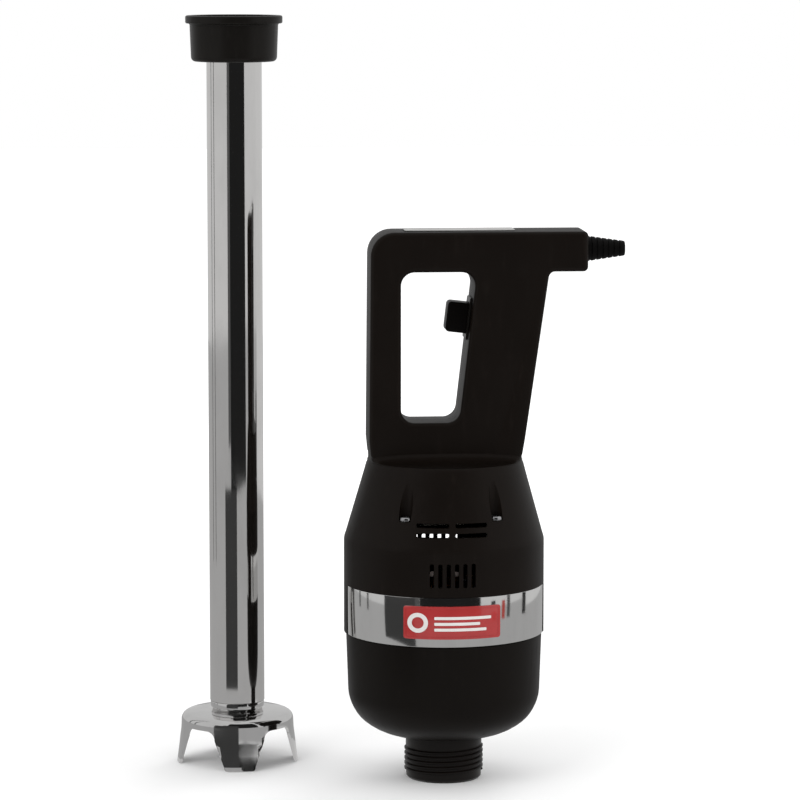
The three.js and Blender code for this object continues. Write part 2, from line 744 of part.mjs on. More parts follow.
function neckScrews() {
  const seat = neckFlangeTop + gap;
  const length = neckFlange.height + gap + neckScrew.depth;
  const shape = screw(neckScrew.shank, neckScrew.head, neckScrew.headHeight, length);
  return eachNeckScrew((place, number) => piece(
    `neck_screw_${number}`, place(shape.translate([0, 0, seat])), finishes.steel,
  ));
}

// A tapered, ribbed sleeve where the mains lead leaves the handle
function cableBoot() {
  const points = [
    [0, -boot.spigotLength], [boot.spigot, -boot.spigotLength], [boot.spigot, gap], [boot.root, gap],
  ];
  const steps = 10;
  const groove = 0.9;
  for (let i = 0; i <= steps; i += 1) {
    const along = (i + 1) / (steps + 2);
    const radius = boot.root + (boot.tip - boot.root) * along;
    points.push([radius - (i % 2 ? groove : 0), boot.length * along]);
  }
  const boreEnd = boot.length - 9;
  points.push([boot.tip, boot.length], [boot.bore, boot.length], [boot.bore, boreEnd], [0, boreEnd]);
  const profile = points.map(([r, z]) => new THREE.Vector2(r, z));
  const geometry = new THREE.LatheGeometry(profile, 16);
  return solid(geometry.rotateZ(-Math.PI / 2).translate(blockEnd, 0, bootHeight));
}

// A saddle inside the handle that grips the lead
function cableClamp() {
  const x = blockEnd - 14;
  const half = { x: 4, y: 13 };
  const [foot, saddle, top] = [bootHeight - 9, bootHeight - 6, bootHeight - 2];
  const cheek = 5;
  return block([x - half.x, -half.y, foot], [x + half.x, half.y, saddle])
    .add(block([x - half.x, -half.y, foot], [x + half.x, cheek - half.y, top]))
    .add(block([x - half.x, half.y - cheek, foot], [x + half.x, half.y, top]));
}

// ---- Motor unit: trigger ------------------------------------------------------------------------

function triggerBody() {
  const { y, z } = triggerSize;
  const pad = plate(roundedOutline([
    [-triggerReach, -z / 2, 3], [casingWall + 0.5, -z / 2, 0],
    [casingWall + 0.5, z / 2, 0], [-triggerReach, z / 2, 3],
  ]), y, 0);
  const stopFace = casingWall + gap;
  const flange = block([stopFace, -y / 2 - 2, -z / 2 - 2], [stopFace + triggerStop, y / 2 + 2, z / 2 + 2]);
  return triggerFrame(pad.add(flange));
}

function switchBezel() {
  const y = triggerSize.y / 2 + slotClearance;
  const z = triggerSize.z / 2 + slotClearance;
  const outer = { y: y + bezelBorder / 2, z: z + bezelBorder };
  const foot = -gap - bezelThickness;
  return triggerFrame(block([foot, -outer.y, -outer.z], [-gap, outer.y, outer.z])
    .subtract(block([foot - 1, -y, -z], [1, y, z])));
}

function triggerSpring() {
  const { radius, wire, turns } = triggerSpringWire;
  const foot = casingWall + 2 * gap + triggerStop;
  const pitch = (springSpace - 2 * gap - 2 * wire) / turns;
  return triggerFrame(coil(new Helix(radius, pitch, turns, 0), wire, 5, 10)
    .rotate([0, 90, 0]).translate([foot + wire + gap, 0, 0]));
}

function switchModule() {
  const { length, y, foot, top, tabs } = switchBody;
  const start = casingWall + gap + triggerStop + springSpace + gap;
  return triggerFrame(block([start, -y, foot], [start + length, y, top])
    .add(block([start + length, 3 - y, foot + 6], [start + length + tabs, y - 3, top - 6])));
}

// ---- Motor unit: motor ----------------------------------------------------------------------------

function ballBearing(foot) {
  return ring(bearing.outer, motorShaftRadius + 0.15, foot, foot + bearing.width, 20);
}

// A bridge across the drum that carries the upper bearing and the brush holders
function bearingBracket() {
  const top = bracketFoot + bracketHeight;
  const barFoot = top - bracket.bar;
  const reach = drumBore - 1.5;
  const bar = block([-reach, -bracket.half, barFoot], [reach, bracket.half, top])
    .intersect(disc(reach, barFoot, top, 28));
  const cup = disc(bearing.outer + bracket.cup, bracketFoot, top, 24);
  return bar.add(cup)
    .subtract(disc(bearing.outer + gap / 2, bracketFoot - 1, bracketFoot + bearing.width + 2 * gap, 20))
    .subtract(disc(motorShaftRadius + 2, bracketFoot - 1, top + 1, 20));
}

function statorCore() {
  const bore = armature.radius + airGap;
  const reach = stator.radius - 4;
  const yoke = ring(stator.radius, stator.radius - stator.yoke, statorFoot, statorTop, 32);
  const poles = block([-reach, -stator.pole, statorFoot], [reach, stator.pole, statorTop]);
  return yoke.add(poles.intersect(disc(stator.radius - 2, statorFoot, statorTop)))
    .subtract(disc(bore, statorFoot - 1, statorTop + 1, 28));
}

function fieldCoil(side) {
  const bore = armature.radius + airGap;
  const { radius, pole, coil: half, overhang } = stator;
  const [foot, top] = [statorFoot - overhang, statorTop + overhang];
  const frame = block([bore - 2, -half, foot], [radius, half, top])
    .intersect(disc(radius - stator.yoke - gap, foot, top, 28))
    .subtract(block([0, -pole - gap, statorFoot - gap], [radius, pole + gap, statorTop + gap]))
    .subtract(disc(bore, foot - 1, top + 1, 28));
  return onSide(frame, side);
}

function onSide(shape, side) {
  return side > 0 ? shape : shape.rotate([0, 0, 180]);
}

function brushMiddle() {
  return commutatorFoot + commutator.height / 2;
}

function brushHolder(side) {
  const middle = brushMiddle();
  const { start, length, half, height } = holder;
  const end = start + length;
  const hanger = bracketFoot + bracketHeight - bracket.bar - gap;
  const shape = block([start, -half, middle - height / 2], [end, half, middle + height / 2])
    .add(block([end - 8, -half, middle], [end - 1, half, hanger]))
    .subtract(block(
      [0, -brush.width / 2 - gap, middle - brush.height / 2 - gap],
      [end + 9, brush.width / 2 + gap, middle + brush.height / 2 + gap],
    ));
  return onSide(shape, side);
}

function carbonBrush(side) {
  const middle = brushMiddle();
  const start = commutator.radius + gap;
  return onSide(block(
    [start, -brush.width / 2, middle - brush.height / 2],
    [start + brush.length, brush.width / 2, middle + brush.height / 2],
  ), side);
}

function brushSpring(side) {
  const start = commutator.radius + brush.length + 2 * gap;
  const { radius, wire, turns } = { radius: 2.3, wire: 0.4, turns: 4 };
  const length = holder.start + holder.length - start - 2 * gap - 2 * wire;
  return onSide(coil(new Helix(radius, length / turns, turns, 0), wire, 4, 8)
    .rotate([0, 90, 0]).translate([start + wire + gap, 0, brushMiddle()]), side);
}

function capacitor() {
  const { radius, length, y, rise } = capacitorSize;
  const geometry = new THREE.CylinderGeometry(radius, radius, length, 20);
  return solid(geometry.rotateZ(Math.PI / 2).translate(0, y, bracketFoot + bracketHeight + rise));
}

function onShaft(shape, foot, top) {
  return shape.subtract(disc(motorShaftRadius + 0.15, foot - 1, top + 1, 16));
}

function motorShaft() {
  return disc(motorShaftRadius, dog.foot + dog.length + gap, rotorTop, 16);
}

// The square dog that drives the rod, on a collar that is pressed on the shaft's end
function driveDog() {
  const half = dog.size / 2;
  const collarFoot = dog.foot + dog.length - 1;
  const collarTop = dog.foot + dog.length + dog.collarHeight;
  return block([-half, -half, dog.foot], [half, half, collarFoot + 0.5])
    .add(disc(dog.collar, collarFoot, collarTop, 24))
    .subtract(disc(motorShaftRadius + 0.15, dog.foot + dog.length, collarTop + 1, 24));
}

function armatureCore() {
  const { radius, slots } = armature;
  const cuts = Array.from({ length: slots }, (_, i) => block(
    [radius - 5, -1.1, armatureFoot - 1],
    [radius + 2, 1.1, armatureTop + 1],
  ).rotate([0, 0, (360 / slots) * i]));
  const core = disc(radius, armatureFoot, armatureTop, 24).subtract(sum(cuts));
  return onShaft(core, armatureFoot, armatureTop);
}

function armatureWinding() {
  const foot = armatureTop + gap;
  const top = foot + windingHeight;
  return turned([
    [motorShaftRadius + 0.15, foot], [armature.radius - 2, foot], [armature.radius - 1, foot + 3],
    [armature.radius - 3, foot + 7], [commutator.radius, top], [motorShaftRadius + 0.15, top],
  ], 24);
}

function commutatorDrum() {
  const top = commutatorFoot + commutator.height;
  return onShaft(disc(commutator.radius, commutatorFoot, top, 24), commutatorFoot, top);
}

function coolingFan() {
  const top = fanFoot + fan.height;
  const blades = Array.from({ length: fan.blades }, (_, i) => block(
    [fan.hub - 2, -0.8, fanFoot + 1],
    [fan.radius - 1, 0.8, top],
  ).rotate([0, 0, (360 / fan.blades) * i]));
  const web = disc(fan.radius, fanFoot, fanFoot + fan.disc, 32);
  return onShaft(sum([web, disc(fan.hub, fanFoot, top, 18), ...blades]), fanFoot, top);
}

function motorUnit() {
  const unit = new THREE.Group();
  const casing = upperCasing();
  unit.add(
    piece('handle_front_shell', halfOf(casing, -1), finishes.casing),
    piece('handle_rear_shell', halfOf(casing, 1), finishes.casing),
    piece('lower_housing', lowerHousing(), finishes.casing),
    piece('threaded_neck', threadedNeck(), finishes.blackPlastic),
    piece('band_front', band(-1), finishes.polishedSteel),
    piece('band_rear', band(1), finishes.polishedSteel),
    piece('label_plate', labelPlate(), finishes.redLabel),
    piece('rating_plate', ratingPlate(), finishes.paleLabel),
    ...housingScrews(),
    ...shellScrews(),
    ...neckScrews(),
    piece('cable_boot', cableBoot(), finishes.rubber),
    piece('cable_clamp', cableClamp(), finishes.blackPlastic),
    piece('trigger', triggerBody(), finishes.blackPlastic),
    piece('switch_bezel', switchBezel(), finishes.blackPlastic),
    piece('trigger_spring', triggerSpring(), finishes.steel),
    piece('switch_module', switchModule(), finishes.moulding),
    piece('bearing_lower', ballBearing(bearingSeat), finishes.steel),
    piece('bearing_upper', ballBearing(bracketFoot + gap / 2), finishes.steel),
    piece('bearing_bracket', bearingBracket(), finishes.alloy),
    piece('stator_core', statorCore(), finishes.laminate),
    piece('field_coil_right', fieldCoil(1), finishes.copper),
    piece('field_coil_left', fieldCoil(-1), finishes.copper),
    piece('brush_holder_right', brushHolder(1), finishes.bronze),
    piece('brush_holder_left', brushHolder(-1), finishes.bronze),
    piece('brush_right', carbonBrush(1), finishes.carbon),
    piece('brush_left', carbonBrush(-1), finishes.carbon),
    piece('brush_spring_right', brushSpring(1), finishes.steel),
    piece('brush_spring_left', brushSpring(-1), finishes.steel),
    piece('suppressor', capacitor(), finishes.moulding),
    piece('motor_shaft', motorShaft(), finishes.steel),
    piece('drive_dog', driveDog(), finishes.steel),
    piece('armature_core', armatureCore(), finishes.laminate),
    piece('armature_winding', armatureWinding(), finishes.copper),
    piece('commutator', commutatorDrum(), finishes.copper),
    piece('cooling_fan', coolingFan(), finishes.moulding),
  );
  return unit;
}

// ---- The whole, with its origin at the middle of its footprint ------------------------------------

const rod = mixingRod();
rod.position.set(-axisSpacing.x, axisSpacing.y, 0);

const whole = new THREE.Group();
whole.add(motorUnit(), rod);
whole.updateMatrixWorld(true);

const bounds = new THREE.Box3().setFromObject(whole);
const middle = bounds.getCenter(new THREE.Vector3());
const blender = new THREE.Group();
blender.name = 'immersion_blender';
whole.position.set(-middle.x, -middle.y, -bounds.min.z);
blender.add(whole);

export default blender;
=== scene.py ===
"""Looks of an immersion blender in two detached parts: a motor unit and a mixing rod.

Sizes are in millimetres until a mesh is made, and heights count from the surface that both parts
stand on. Places come from the frame: each part's upright axis is the middle of its own shaft.
"""

from __future__ import annotations

import json
import logging
import math
from contextlib import contextmanager
from dataclasses import dataclass, field
from enum import Enum
from typing import Iterator, Sequence, Union

import bmesh
import bpy
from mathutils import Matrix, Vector

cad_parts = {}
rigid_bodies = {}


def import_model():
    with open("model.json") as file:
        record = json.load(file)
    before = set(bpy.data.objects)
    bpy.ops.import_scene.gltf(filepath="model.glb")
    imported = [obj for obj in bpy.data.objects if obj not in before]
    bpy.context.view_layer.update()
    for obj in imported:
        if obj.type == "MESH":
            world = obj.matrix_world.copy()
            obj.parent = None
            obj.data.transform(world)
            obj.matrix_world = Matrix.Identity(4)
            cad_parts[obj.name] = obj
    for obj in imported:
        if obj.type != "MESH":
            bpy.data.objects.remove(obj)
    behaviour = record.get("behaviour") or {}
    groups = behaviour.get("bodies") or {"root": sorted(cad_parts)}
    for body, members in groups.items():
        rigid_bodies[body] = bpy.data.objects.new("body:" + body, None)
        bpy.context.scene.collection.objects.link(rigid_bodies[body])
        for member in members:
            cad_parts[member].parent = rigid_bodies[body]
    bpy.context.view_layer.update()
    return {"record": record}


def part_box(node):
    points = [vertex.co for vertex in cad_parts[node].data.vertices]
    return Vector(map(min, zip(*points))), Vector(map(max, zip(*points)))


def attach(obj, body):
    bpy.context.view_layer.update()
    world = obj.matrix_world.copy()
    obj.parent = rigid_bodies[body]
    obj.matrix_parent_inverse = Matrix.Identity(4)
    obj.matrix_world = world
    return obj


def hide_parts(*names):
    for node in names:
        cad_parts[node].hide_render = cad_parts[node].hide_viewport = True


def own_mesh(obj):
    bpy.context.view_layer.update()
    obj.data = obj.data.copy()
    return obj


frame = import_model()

LOG = logging.getLogger("immersion_blender")
MM = 0.001
Point = tuple[float, float]
Colour = tuple[float, float, float]


# ---- Shader graphs ----------------------------------------------------------------------------


class Value:
    """A shader socket that takes part in arithmetic."""

    def __init__(self, graph: "Graph", socket: bpy.types.NodeSocket) -> None:
        """Wraps one output socket of a graph."""
        self.graph = graph
        self.socket = socket

    def __add__(self, other: "Number") -> "Value":
        """Adds."""
        return self.graph.maths("ADD", self, other)

    __radd__ = __add__

    def __sub__(self, other: "Number") -> "Value":
        """Subtracts."""
        return self.graph.maths("SUBTRACT", self, other)

    def __rsub__(self, other: "Number") -> "Value":
        """Subtracts this value from a number."""
        return self.graph.maths("SUBTRACT", other, self)

    def __mul__(self, other: "Number") -> "Value":
        """Multiplies."""
        return self.graph.maths("MULTIPLY", self, other)

    __rmul__ = __mul__

    def __truediv__(self, other: "Number") -> "Value":
        """Divides."""
        return self.graph.maths("DIVIDE", self, other)

    def __rtruediv__(self, other: "Number") -> "Value":
        """Divides a number by this value."""
        return self.graph.maths("DIVIDE", other, self)


Number = Union[float, Value]


class Graph:
    """One material's node graph, built from expressions."""

    def __init__(self, name: str) -> None:
        """Makes an empty material of that name."""
        self.material = bpy.data.materials.new(name)
        self.material.use_nodes = True
        self.tree = self.material.node_tree
        self.tree.nodes.clear()

    def node(self, kind: str, settings: dict | None = None, values: dict | None = None) -> bpy.types.Node:
        """Adds any node.

        Args:
            kind: The node's type.
            settings: Its properties, or "stops" for a ramp's (place, colour) pairs.
            values: What its inputs hold or are linked to, by name or number.

        Returns:
            The new node.
        """
        made = self.tree.nodes.new(kind)
        for name, value in (settings or {}).items():
            setattr(made, name, value)
        for name, value in (values or {}).items():
            if isinstance(value, Value):
                self.tree.links.new(value.socket, made.inputs[name])
            else:
                made.inputs[name].default_value = value
        return made

    def maths(self, operation: str, *operands: Number) -> Value:
        """Adds a Math node for an operation on values and numbers."""
        made = self.node("ShaderNodeMath", {"operation": operation}, dict(enumerate(operands)))
        return Value(self, made.outputs[0])

    def place(self, stretch: Sequence[float] = (1, 1, 1)) -> Value:
        """Gives the object's own coordinates, stretched along each axis."""
        where = self.node("ShaderNodeTexCoord")
        mapping = self.node("ShaderNodeMapping", {}, {
            "Vector": Value(self, where.outputs["Object"]), "Scale": tuple(stretch),
        })
        return Value(self, mapping.outputs[0])

    def height(self) -> Value:
        """Gives the height above the standing surface, in metres."""
        parts = self.node("ShaderNodeSeparateXYZ", {}, {0: self.place()})
        return Value(self, parts.outputs["Z"])

    def noise(self, size: float, detail: float = 2, rough: float = 0.5,
              stretch: Sequence[float] = (1, 1, 1)) -> Value:
        """Adds a noise texture.

        Args:
            size: Width of its patches, in millimetres.
            detail: How many finer layers it has.
            rough: How strong the finer layers are.
            stretch: How much faster it varies along each axis.

        Returns:
            The noise, from 0 to 1 around a half.
        """
        made = self.node("ShaderNodeTexNoise", {}, {
            "Vector": self.place(stretch), "Scale": 1 / (size * MM), "Detail": detail, "Roughness": rough,
        })
        return Value(self, made.outputs["Fac"])

    def between(self, value: Value, low: float, high: float) -> Value:
        """Rises from 0 to 1 as a value goes from low to high, and stays in that range."""
        made = self.node("ShaderNodeMapRange", {"clamp": True}, {
            "Value": value, "From Min": low, "From Max": high,
        })
        return Value(self, made.outputs["Result"])

    def blend(self, factor: Number, first: Colour | Value, second: Colour | Value) -> Value:
        """Mixes two colours."""
        ends = [c if isinstance(c, Value) else (*c, 1.0) for c in (first, second)]
        made = self.node("ShaderNodeMix", {"data_type": "RGBA"}, {0: factor, 6: ends[0], 7: ends[1]})
        return Value(self, made.outputs[2])

    def relief(self, height: Value, depth: float, strength: float = 1.0) -> Value:
        """Turns a height pattern into a bumped normal.

        Args:
            height: The pattern, from 0 to 1.
            depth: How deep it is, in millimetres.
            strength: How much of it shows.

        Returns:
            The normal.
        """
        made = self.node("ShaderNodeBump", {}, {
            "Height": height, "Distance": depth * MM, "Strength": strength,
        })
        return Value(self, made.outputs[0])

    def surface(self, **sockets: Number | Colour | Value) -> None:
        """Adds the shader and the output.

        Args:
            sockets: The shader's inputs, with underscores for the spaces in their names.
        """
        values = {name.replace("_", " "): value for name, value in sockets.items()}
        for name in ("Base Color", "Coat Tint"):
            if isinstance(values.get(name), tuple):
                values[name] = (*values[name], 1.0)
        shader = self.node("ShaderNodeBsdfPrincipled", {}, values)
        self.node("ShaderNodeOutputMaterial", {}, {"Surface": Value(self, shader.outputs[0])})


# ---- Finishes -----------------------------------------------------------------------------------


def scaled(colour: Colour, factor: float) -> Colour:
    """Makes a colour lighter or darker."""
    return tuple(channel * factor for channel in colour)


@dataclass(frozen=True)
class Finish:
    """What a surface is made of."""

    name: str
    colour: Colour
    roughness: float

    def paint(self, graph: Graph) -> None:
        """Builds the finish's nodes in a graph."""
        raise NotImplementedError

    def material(self) -> bpy.types.Material:
        """Gives the finish's one material, made when it is first asked for."""
        found = bpy.data.materials.get(self.name)
        if found is None:
            graph = Graph(self.name)
            self.paint(graph)
            found = graph.material
        return found

    def on(self, obj: bpy.types.Object) -> None:
        """Dresses an object in the finish."""
        material = self.material()
        if not obj.material_slots:
            obj.data.materials.append(material)
        for slot in obj.material_slots:
            slot.material = material


@dataclass(frozen=True)
class Moulded(Finish):
    """Moulded plastic or rubber with a spark-eroded grain, a slow tone change and faint rubbed streaks."""

    grain: float = 0.45
    grain_depth: float = 0.012
    rubbed: float = 0.10
    streaks: Sequence[float] = (1.0, 1.0, 0.18)
    gloss: float = 0.5

    def paint(self, graph: Graph) -> None:
        """Builds the finish's nodes in a graph."""
        tone = graph.noise(38, detail=3)
        grain = graph.noise(self.grain, detail=1.5, rough=0.6)
        streak = graph.between(graph.noise(5, detail=4, rough=0.65, stretch=self.streaks), 0.56, 0.74)
        shade = graph.blend(tone, scaled(self.colour, 0.82), scaled(self.colour, 1.2))
        graph.surface(
            Base_Color=graph.blend(streak * 0.35, shade, scaled(self.colour, 1.9)),
            Roughness=self.roughness + 0.10 * (tone - 0.5) + self.rubbed * streak + 0.05 * (grain - 0.5),
            Normal=graph.relief(grain, self.grain_depth),
            Specular_IOR_Level=self.gloss,
        )


@dataclass(frozen=True)
class Polished(Finish):
    """Polished stainless steel: fine turning lines, wiped smudges and a few faint scratches."""

    lines: Sequence[float] = (1.0, 1.0, 60.0)
    smudge: float = 0.05
    line_depth: float = 0.0006

    def paint(self, graph: Graph) -> None:
        """Builds the finish's nodes in a graph."""
        line = graph.noise(9, detail=3, rough=0.7, stretch=self.lines)
        wipe = graph.between(graph.noise(16, detail=4, rough=0.6, stretch=(1, 1, 0.35)), 0.45, 0.72)
        scratch = graph.between(graph.noise(3, detail=2, rough=0.5, stretch=(1, 1, 0.03)), 0.70, 0.76)
        graph.surface(
            Base_Color=graph.blend(wipe, self.colour, scaled(self.colour, 0.93)),
            Metallic=1.0,
            Roughness=self.roughness + self.smudge * wipe + 0.03 * line + 0.05 * scratch,
            Normal=graph.relief(line, self.line_depth),
        )


@dataclass(frozen=True)
class Badge(Finish):
    """Glossy enamel under clear varnish, a little deeper or lighter in tone in patches."""

    coat: float = 0.8

    def paint(self, graph: Graph) -> None:
        """Builds the finish's nodes in a graph."""
        tone = graph.noise(14, detail=2)
        peel = graph.noise(1.6, detail=1)
        graph.surface(
            Base_Color=graph.blend(tone, scaled(self.colour, 0.85), scaled(self.colour, 1.12)),
            Roughness=self.roughness + 0.06 * (tone - 0.5),
            Normal=graph.relief(peel, 0.004),
            Coat_Weight=self.coat,
            Coat_Roughness=0.06,
        )


@dataclass(frozen=True)
class Wound(Finish):
    """Varnished copper wire, wound in close turns, with painted shade that darkens the grooves between the
    turns.
    """

    wire: float = 0.8

    def paint(self, graph: Graph) -> None:
        """Builds the finish's nodes in a graph."""
        turn = graph.maths("PINGPONG", graph.height() / (self.wire * MM), 0.5) * 2
        tone = graph.noise(7, detail=3)
        graph.surface(
            # The colour darkens to about a third in the grooves between the turns: painted shade.
            Base_Color=graph.blend(turn, scaled(self.colour, 0.35), self.colour),
            Metallic=0.9,
            Roughness=self.roughness + 0.15 * tone,
            Normal=graph.relief(turn, 0.25),
        )


@dataclass(frozen=True)
class Stacked(Finish):
    """Thin steel sheets in a stack, with oxide between them."""

    sheet: float = 0.7

    def paint(self, graph: Graph) -> None:
        """Builds the finish's nodes in a graph."""
        joint = graph.between(graph.maths("PINGPONG", graph.height() / (self.sheet * MM), 0.5), 0.0, 0.12)
        oxide = graph.noise(6, detail=4)
        graph.surface(
            Base_Color=graph.blend(joint, scaled(self.colour, 0.3), self.colour),
            Metallic=0.8,
            Roughness=self.roughness + 0.2 * (oxide - 0.5),
            Normal=graph.relief(joint, 0.05),
        )


@dataclass(frozen=True)
class Cast(Finish):
    """Cast or sintered metal with a fine open grain."""

    grain: float = 0.7

    def paint(self, graph: Graph) -> None:
        """Builds the finish's nodes in a graph."""
        grain = graph.noise(self.grain, detail=3, rough=0.6)
        tone = graph.noise(12, detail=3)
        graph.surface(
            Base_Color=graph.blend(tone, scaled(self.colour, 0.8), scaled(self.colour, 1.15)),
            Metallic=0.9,
            Roughness=self.roughness + 0.15 * (grain - 0.5),
            Normal=graph.relief(grain, 0.03),
        )


@dataclass(frozen=True)
class Seamless(Finish):
    """The pale matt sheet that the parts stand on, evenly lit out to its far edge."""

    def paint(self, graph: Graph) -> None:
        """Builds the finish's nodes in a graph."""
        fibre = graph.noise(2, detail=3)
        reach = graph.node("ShaderNodeVectorMath", {"operation": "LENGTH"}, {0: graph.place()})
        far = graph.between(Value(graph, reach.outputs["Value"]), 0.35, 1.1)
        graph.surface(
            Base_Color=graph.blend(fibre, scaled(self.colour, 0.995), self.colour),
            Roughness=self.roughness,
            Normal=graph.relief(fibre, 0.01),
            Emission_Color=graph.blend(far, (0.0, 0.0, 0.0), (0.3, 0.3, 0.3)),
            Emission_Strength=1.0,
        )


CASING = Moulded("satin_casing", (0.0058, 0.0040, 0.0030), 0.42, gloss=0.10)
HOUSING = Moulded("satin_lower_housing", (0.0050, 0.0038, 0.0030), 0.40, gloss=0.10)
BLACK = Moulded(
    "smooth_black_moulding", (0.0060, 0.0052, 0.0044), 0.32, grain=0.8, grain_depth=0.004, gloss=0.14,
)
TRIGGER_BLACK = Moulded(
    "trigger_moulding", (0.0020, 0.0014, 0.0012), 0.40, grain=0.8, grain_depth=0.004, gloss=0.10,
)
NECK_BLACK = Moulded(
    "neck_moulding", (0.0048, 0.0034, 0.0026), 0.36, grain=0.7, grain_depth=0.006, gloss=0.16,
)
SLEEVE = Moulded("sleeve_rubber", (0.0020, 0.0017, 0.0016), 0.50, grain=0.3, grain_depth=0.010, gloss=0.10)
SEAL = Moulded("seal_rubber", (0.012, 0.012, 0.012), 0.60)
NYLON = Moulded("natural_nylon", (0.55, 0.51, 0.43), 0.42, grain=0.6, streaks=(1.0, 1.0, 1.0))
CARBON = Moulded("pressed_carbon", (0.03, 0.03, 0.032), 0.55)
MIRROR = Polished("mirror_steel", (0.80, 0.79, 0.78), 0.035, smudge=0.04)
BAND_STEEL = Polished("band_steel", (0.78, 0.775, 0.765), 0.06, lines=(1.0, 1.0, 30.0), smudge=0.05)
GUARD_STEEL = Polished("guard_steel", (0.74, 0.735, 0.73), 0.05, lines=(8.0, 8.0, 1.0), smudge=0.06)
STEEL = Polished("turned_steel", (0.52, 0.52, 0.53), 0.22, lines=(1.0, 1.0, 20.0), line_depth=0.004)
BLADE_STEEL = Polished("ground_steel", (0.60, 0.60, 0.60), 0.14, lines=(30.0, 1.0, 1.0), line_depth=0.003)
RED = Badge("red_enamel", (0.330, 0.022, 0.022), 0.24)
PALE = Badge("pale_enamel", (0.62, 0.60, 0.58), 0.34, coat=0.3)
PLATE = Badge("plate_film", (0.40, 0.40, 0.39), 0.42, coat=0.1)
COPPER = Wound("copper_winding", (0.60, 0.24, 0.10), 0.30)
LAMINATED = Stacked("laminated_steel", (0.30, 0.31, 0.33), 0.42)
BRONZE = Cast("sintered_bronze", (0.45, 0.28, 0.12), 0.38)
ALLOY = Cast("cast_alloy", (0.10, 0.10, 0.105), 0.62, grain=1.0)
SHEET = Seamless("pale_sheet", (0.93, 0.93, 0.93), 0.75)

SLOT_FINISHES: dict[str, Finish] = {
    "casing": CASING, "black_plastic": BLACK, "boot_rubber": SLEEVE, "gasket_rubber": SEAL,
    "polished_steel": MIRROR, "steel": STEEL, "red_label": RED, "pale_label": PLATE,
    "bronze": BRONZE, "copper": COPPER, "laminate": LAMINATED, "carbon": CARBON,
    "alloy": ALLOY, "pale_moulding": NYLON,
}


# ---- Workbench ------------------------------------------------------------------------------------


class Cut(Enum):
    """How two solids are put together."""

    REMOVE = "DIFFERENCE"
    JOIN = "UNION"
    KEEP_COMMON = "INTERSECT"


def clear_bench() -> None:
    """Leaves edit mode and deselects everything."""
    if bpy.context.object is not None and bpy.context.object.mode != "OBJECT":
        bpy.ops.object.mode_set(mode="OBJECT")
    bpy.ops.object.select_all(action="DESELECT")


def pick(obj: bpy.types.Object) -> None:
    """Selects one object and makes it active."""
    clear_bench()
    obj.select_set(True)
    bpy.context.view_layer.objects.active = obj


@contextmanager
def editing(obj: bpy.types.Object) -> Iterator[None]:
    """Opens an object in edit mode with all of it selected, and closes it afterwards."""
    pick(obj)
    bpy.ops.object.mode_set(mode="EDIT")
    bpy.ops.mesh.select_all(action="SELECT")
    yield
    bpy.ops.object.mode_set(mode="OBJECT")


def settle(obj: bpy.types.Object, name: str) -> bpy.types.Object:
    """Names an object and moves its place, turn and scale into its mesh."""
    pick(obj)
    obj.name = name
    obj.data.name = name
    bpy.ops.object.transform_apply(location=True, rotation=True, scale=True)
    return obj


def metres(values: Sequence[float]) -> tuple[float, ...]:
    """Turns millimetres into metres."""
    return tuple(v * MM for v in values)


def tidy_normals(obj: bpy.types.Object) -> None:
    """Merges doubled vertices and turns every face outwards."""
    with editing(obj):
        bpy.ops.mesh.remove_doubles(threshold=0.002 * MM)
        bpy.ops.mesh.normals_make_consistent(inside=False)


def turned(name: str, profile: Sequence[Point], segments: int = 128, ring: bool = True) -> bpy.types.Object:
    """Draws a circle up through a profile, ring by ring.

    Args:
        name: The piece's name.
        profile: Its (radius, height) corners, in millimetres.
        segments: How many sides it has.
        ring: True if the profile closes on itself, False if its two ends are capped flat.

    Returns:
        The new object.
    """
    corners = [*profile, profile[0]] if ring else list(profile)
    radius, height = corners[0]
    clear_bench()
    bpy.ops.mesh.primitive_circle_add(
        vertices=segments, radius=radius * MM, fill_type="NOTHING", location=(0, 0, height * MM),
    )
    obj = settle(bpy.context.object, name)
    with editing(obj):
        for next_radius, next_height in corners[1:]:
            rise = (0, 0, (next_height - height) * MM)
            bpy.ops.mesh.extrude_region_move(TRANSFORM_OT_translate={"value": rise})
            if next_radius != radius:
                grow = next_radius / radius
                bpy.ops.transform.resize(value=(grow, grow, 1), center_override=(0, 0, next_height * MM))
            radius, height = next_radius, next_height
    if not ring:
        close_ends(obj)
    tidy_normals(obj)
    return obj


def close_ends(obj: bpy.types.Object) -> None:
    """Fills each open rim of a piece with one flat face."""
    with editing(obj):
        bpy.ops.mesh.select_all(action="DESELECT")
        bpy.ops.mesh.select_non_manifold(extend=False)
        bpy.ops.mesh.fill_holes(sides=0)


def block(name: str, low: Sequence[float], high: Sequence[float]) -> bpy.types.Object:
    """Makes a box between two corners, in millimetres."""
    clear_bench()
    middle = [(a + b) / 2 for a, b in zip(low, high)]
    bpy.ops.mesh.primitive_cube_add(size=1, location=metres(middle))
    obj = bpy.context.object
    obj.scale = metres([b - a for a, b in zip(low, high)])
    return settle(obj, name)


def pin(name: str, radius: float, start: Sequence[float], end: Sequence[float],
        segments: int = 48) -> bpy.types.Object:
    """Makes a cylinder between two points, in millimetres."""
    clear_bench()
    a, b = Vector(metres(start)), Vector(metres(end))
    bpy.ops.mesh.primitive_cylinder_add(
        vertices=segments, radius=radius * MM, depth=(b - a).length, location=(a + b) / 2,
        rotation=(b - a).to_track_quat("Z", "Y").to_euler(),
    )
    return settle(bpy.context.object, name)


def combine(obj: bpy.types.Object, tool: bpy.types.Object, how: Cut) -> bpy.types.Object:
    """Cuts, joins or crosses a piece with a tool, which is used up."""
    pick(obj)
    modifier = obj.modifiers.new("combine", "BOOLEAN")
    modifier.operation = how.value
    modifier.object = tool
    modifier.solver = "EXACT"
    bpy.ops.object.modifier_apply(modifier=modifier.name)
    bpy.data.objects.remove(tool)
    return obj


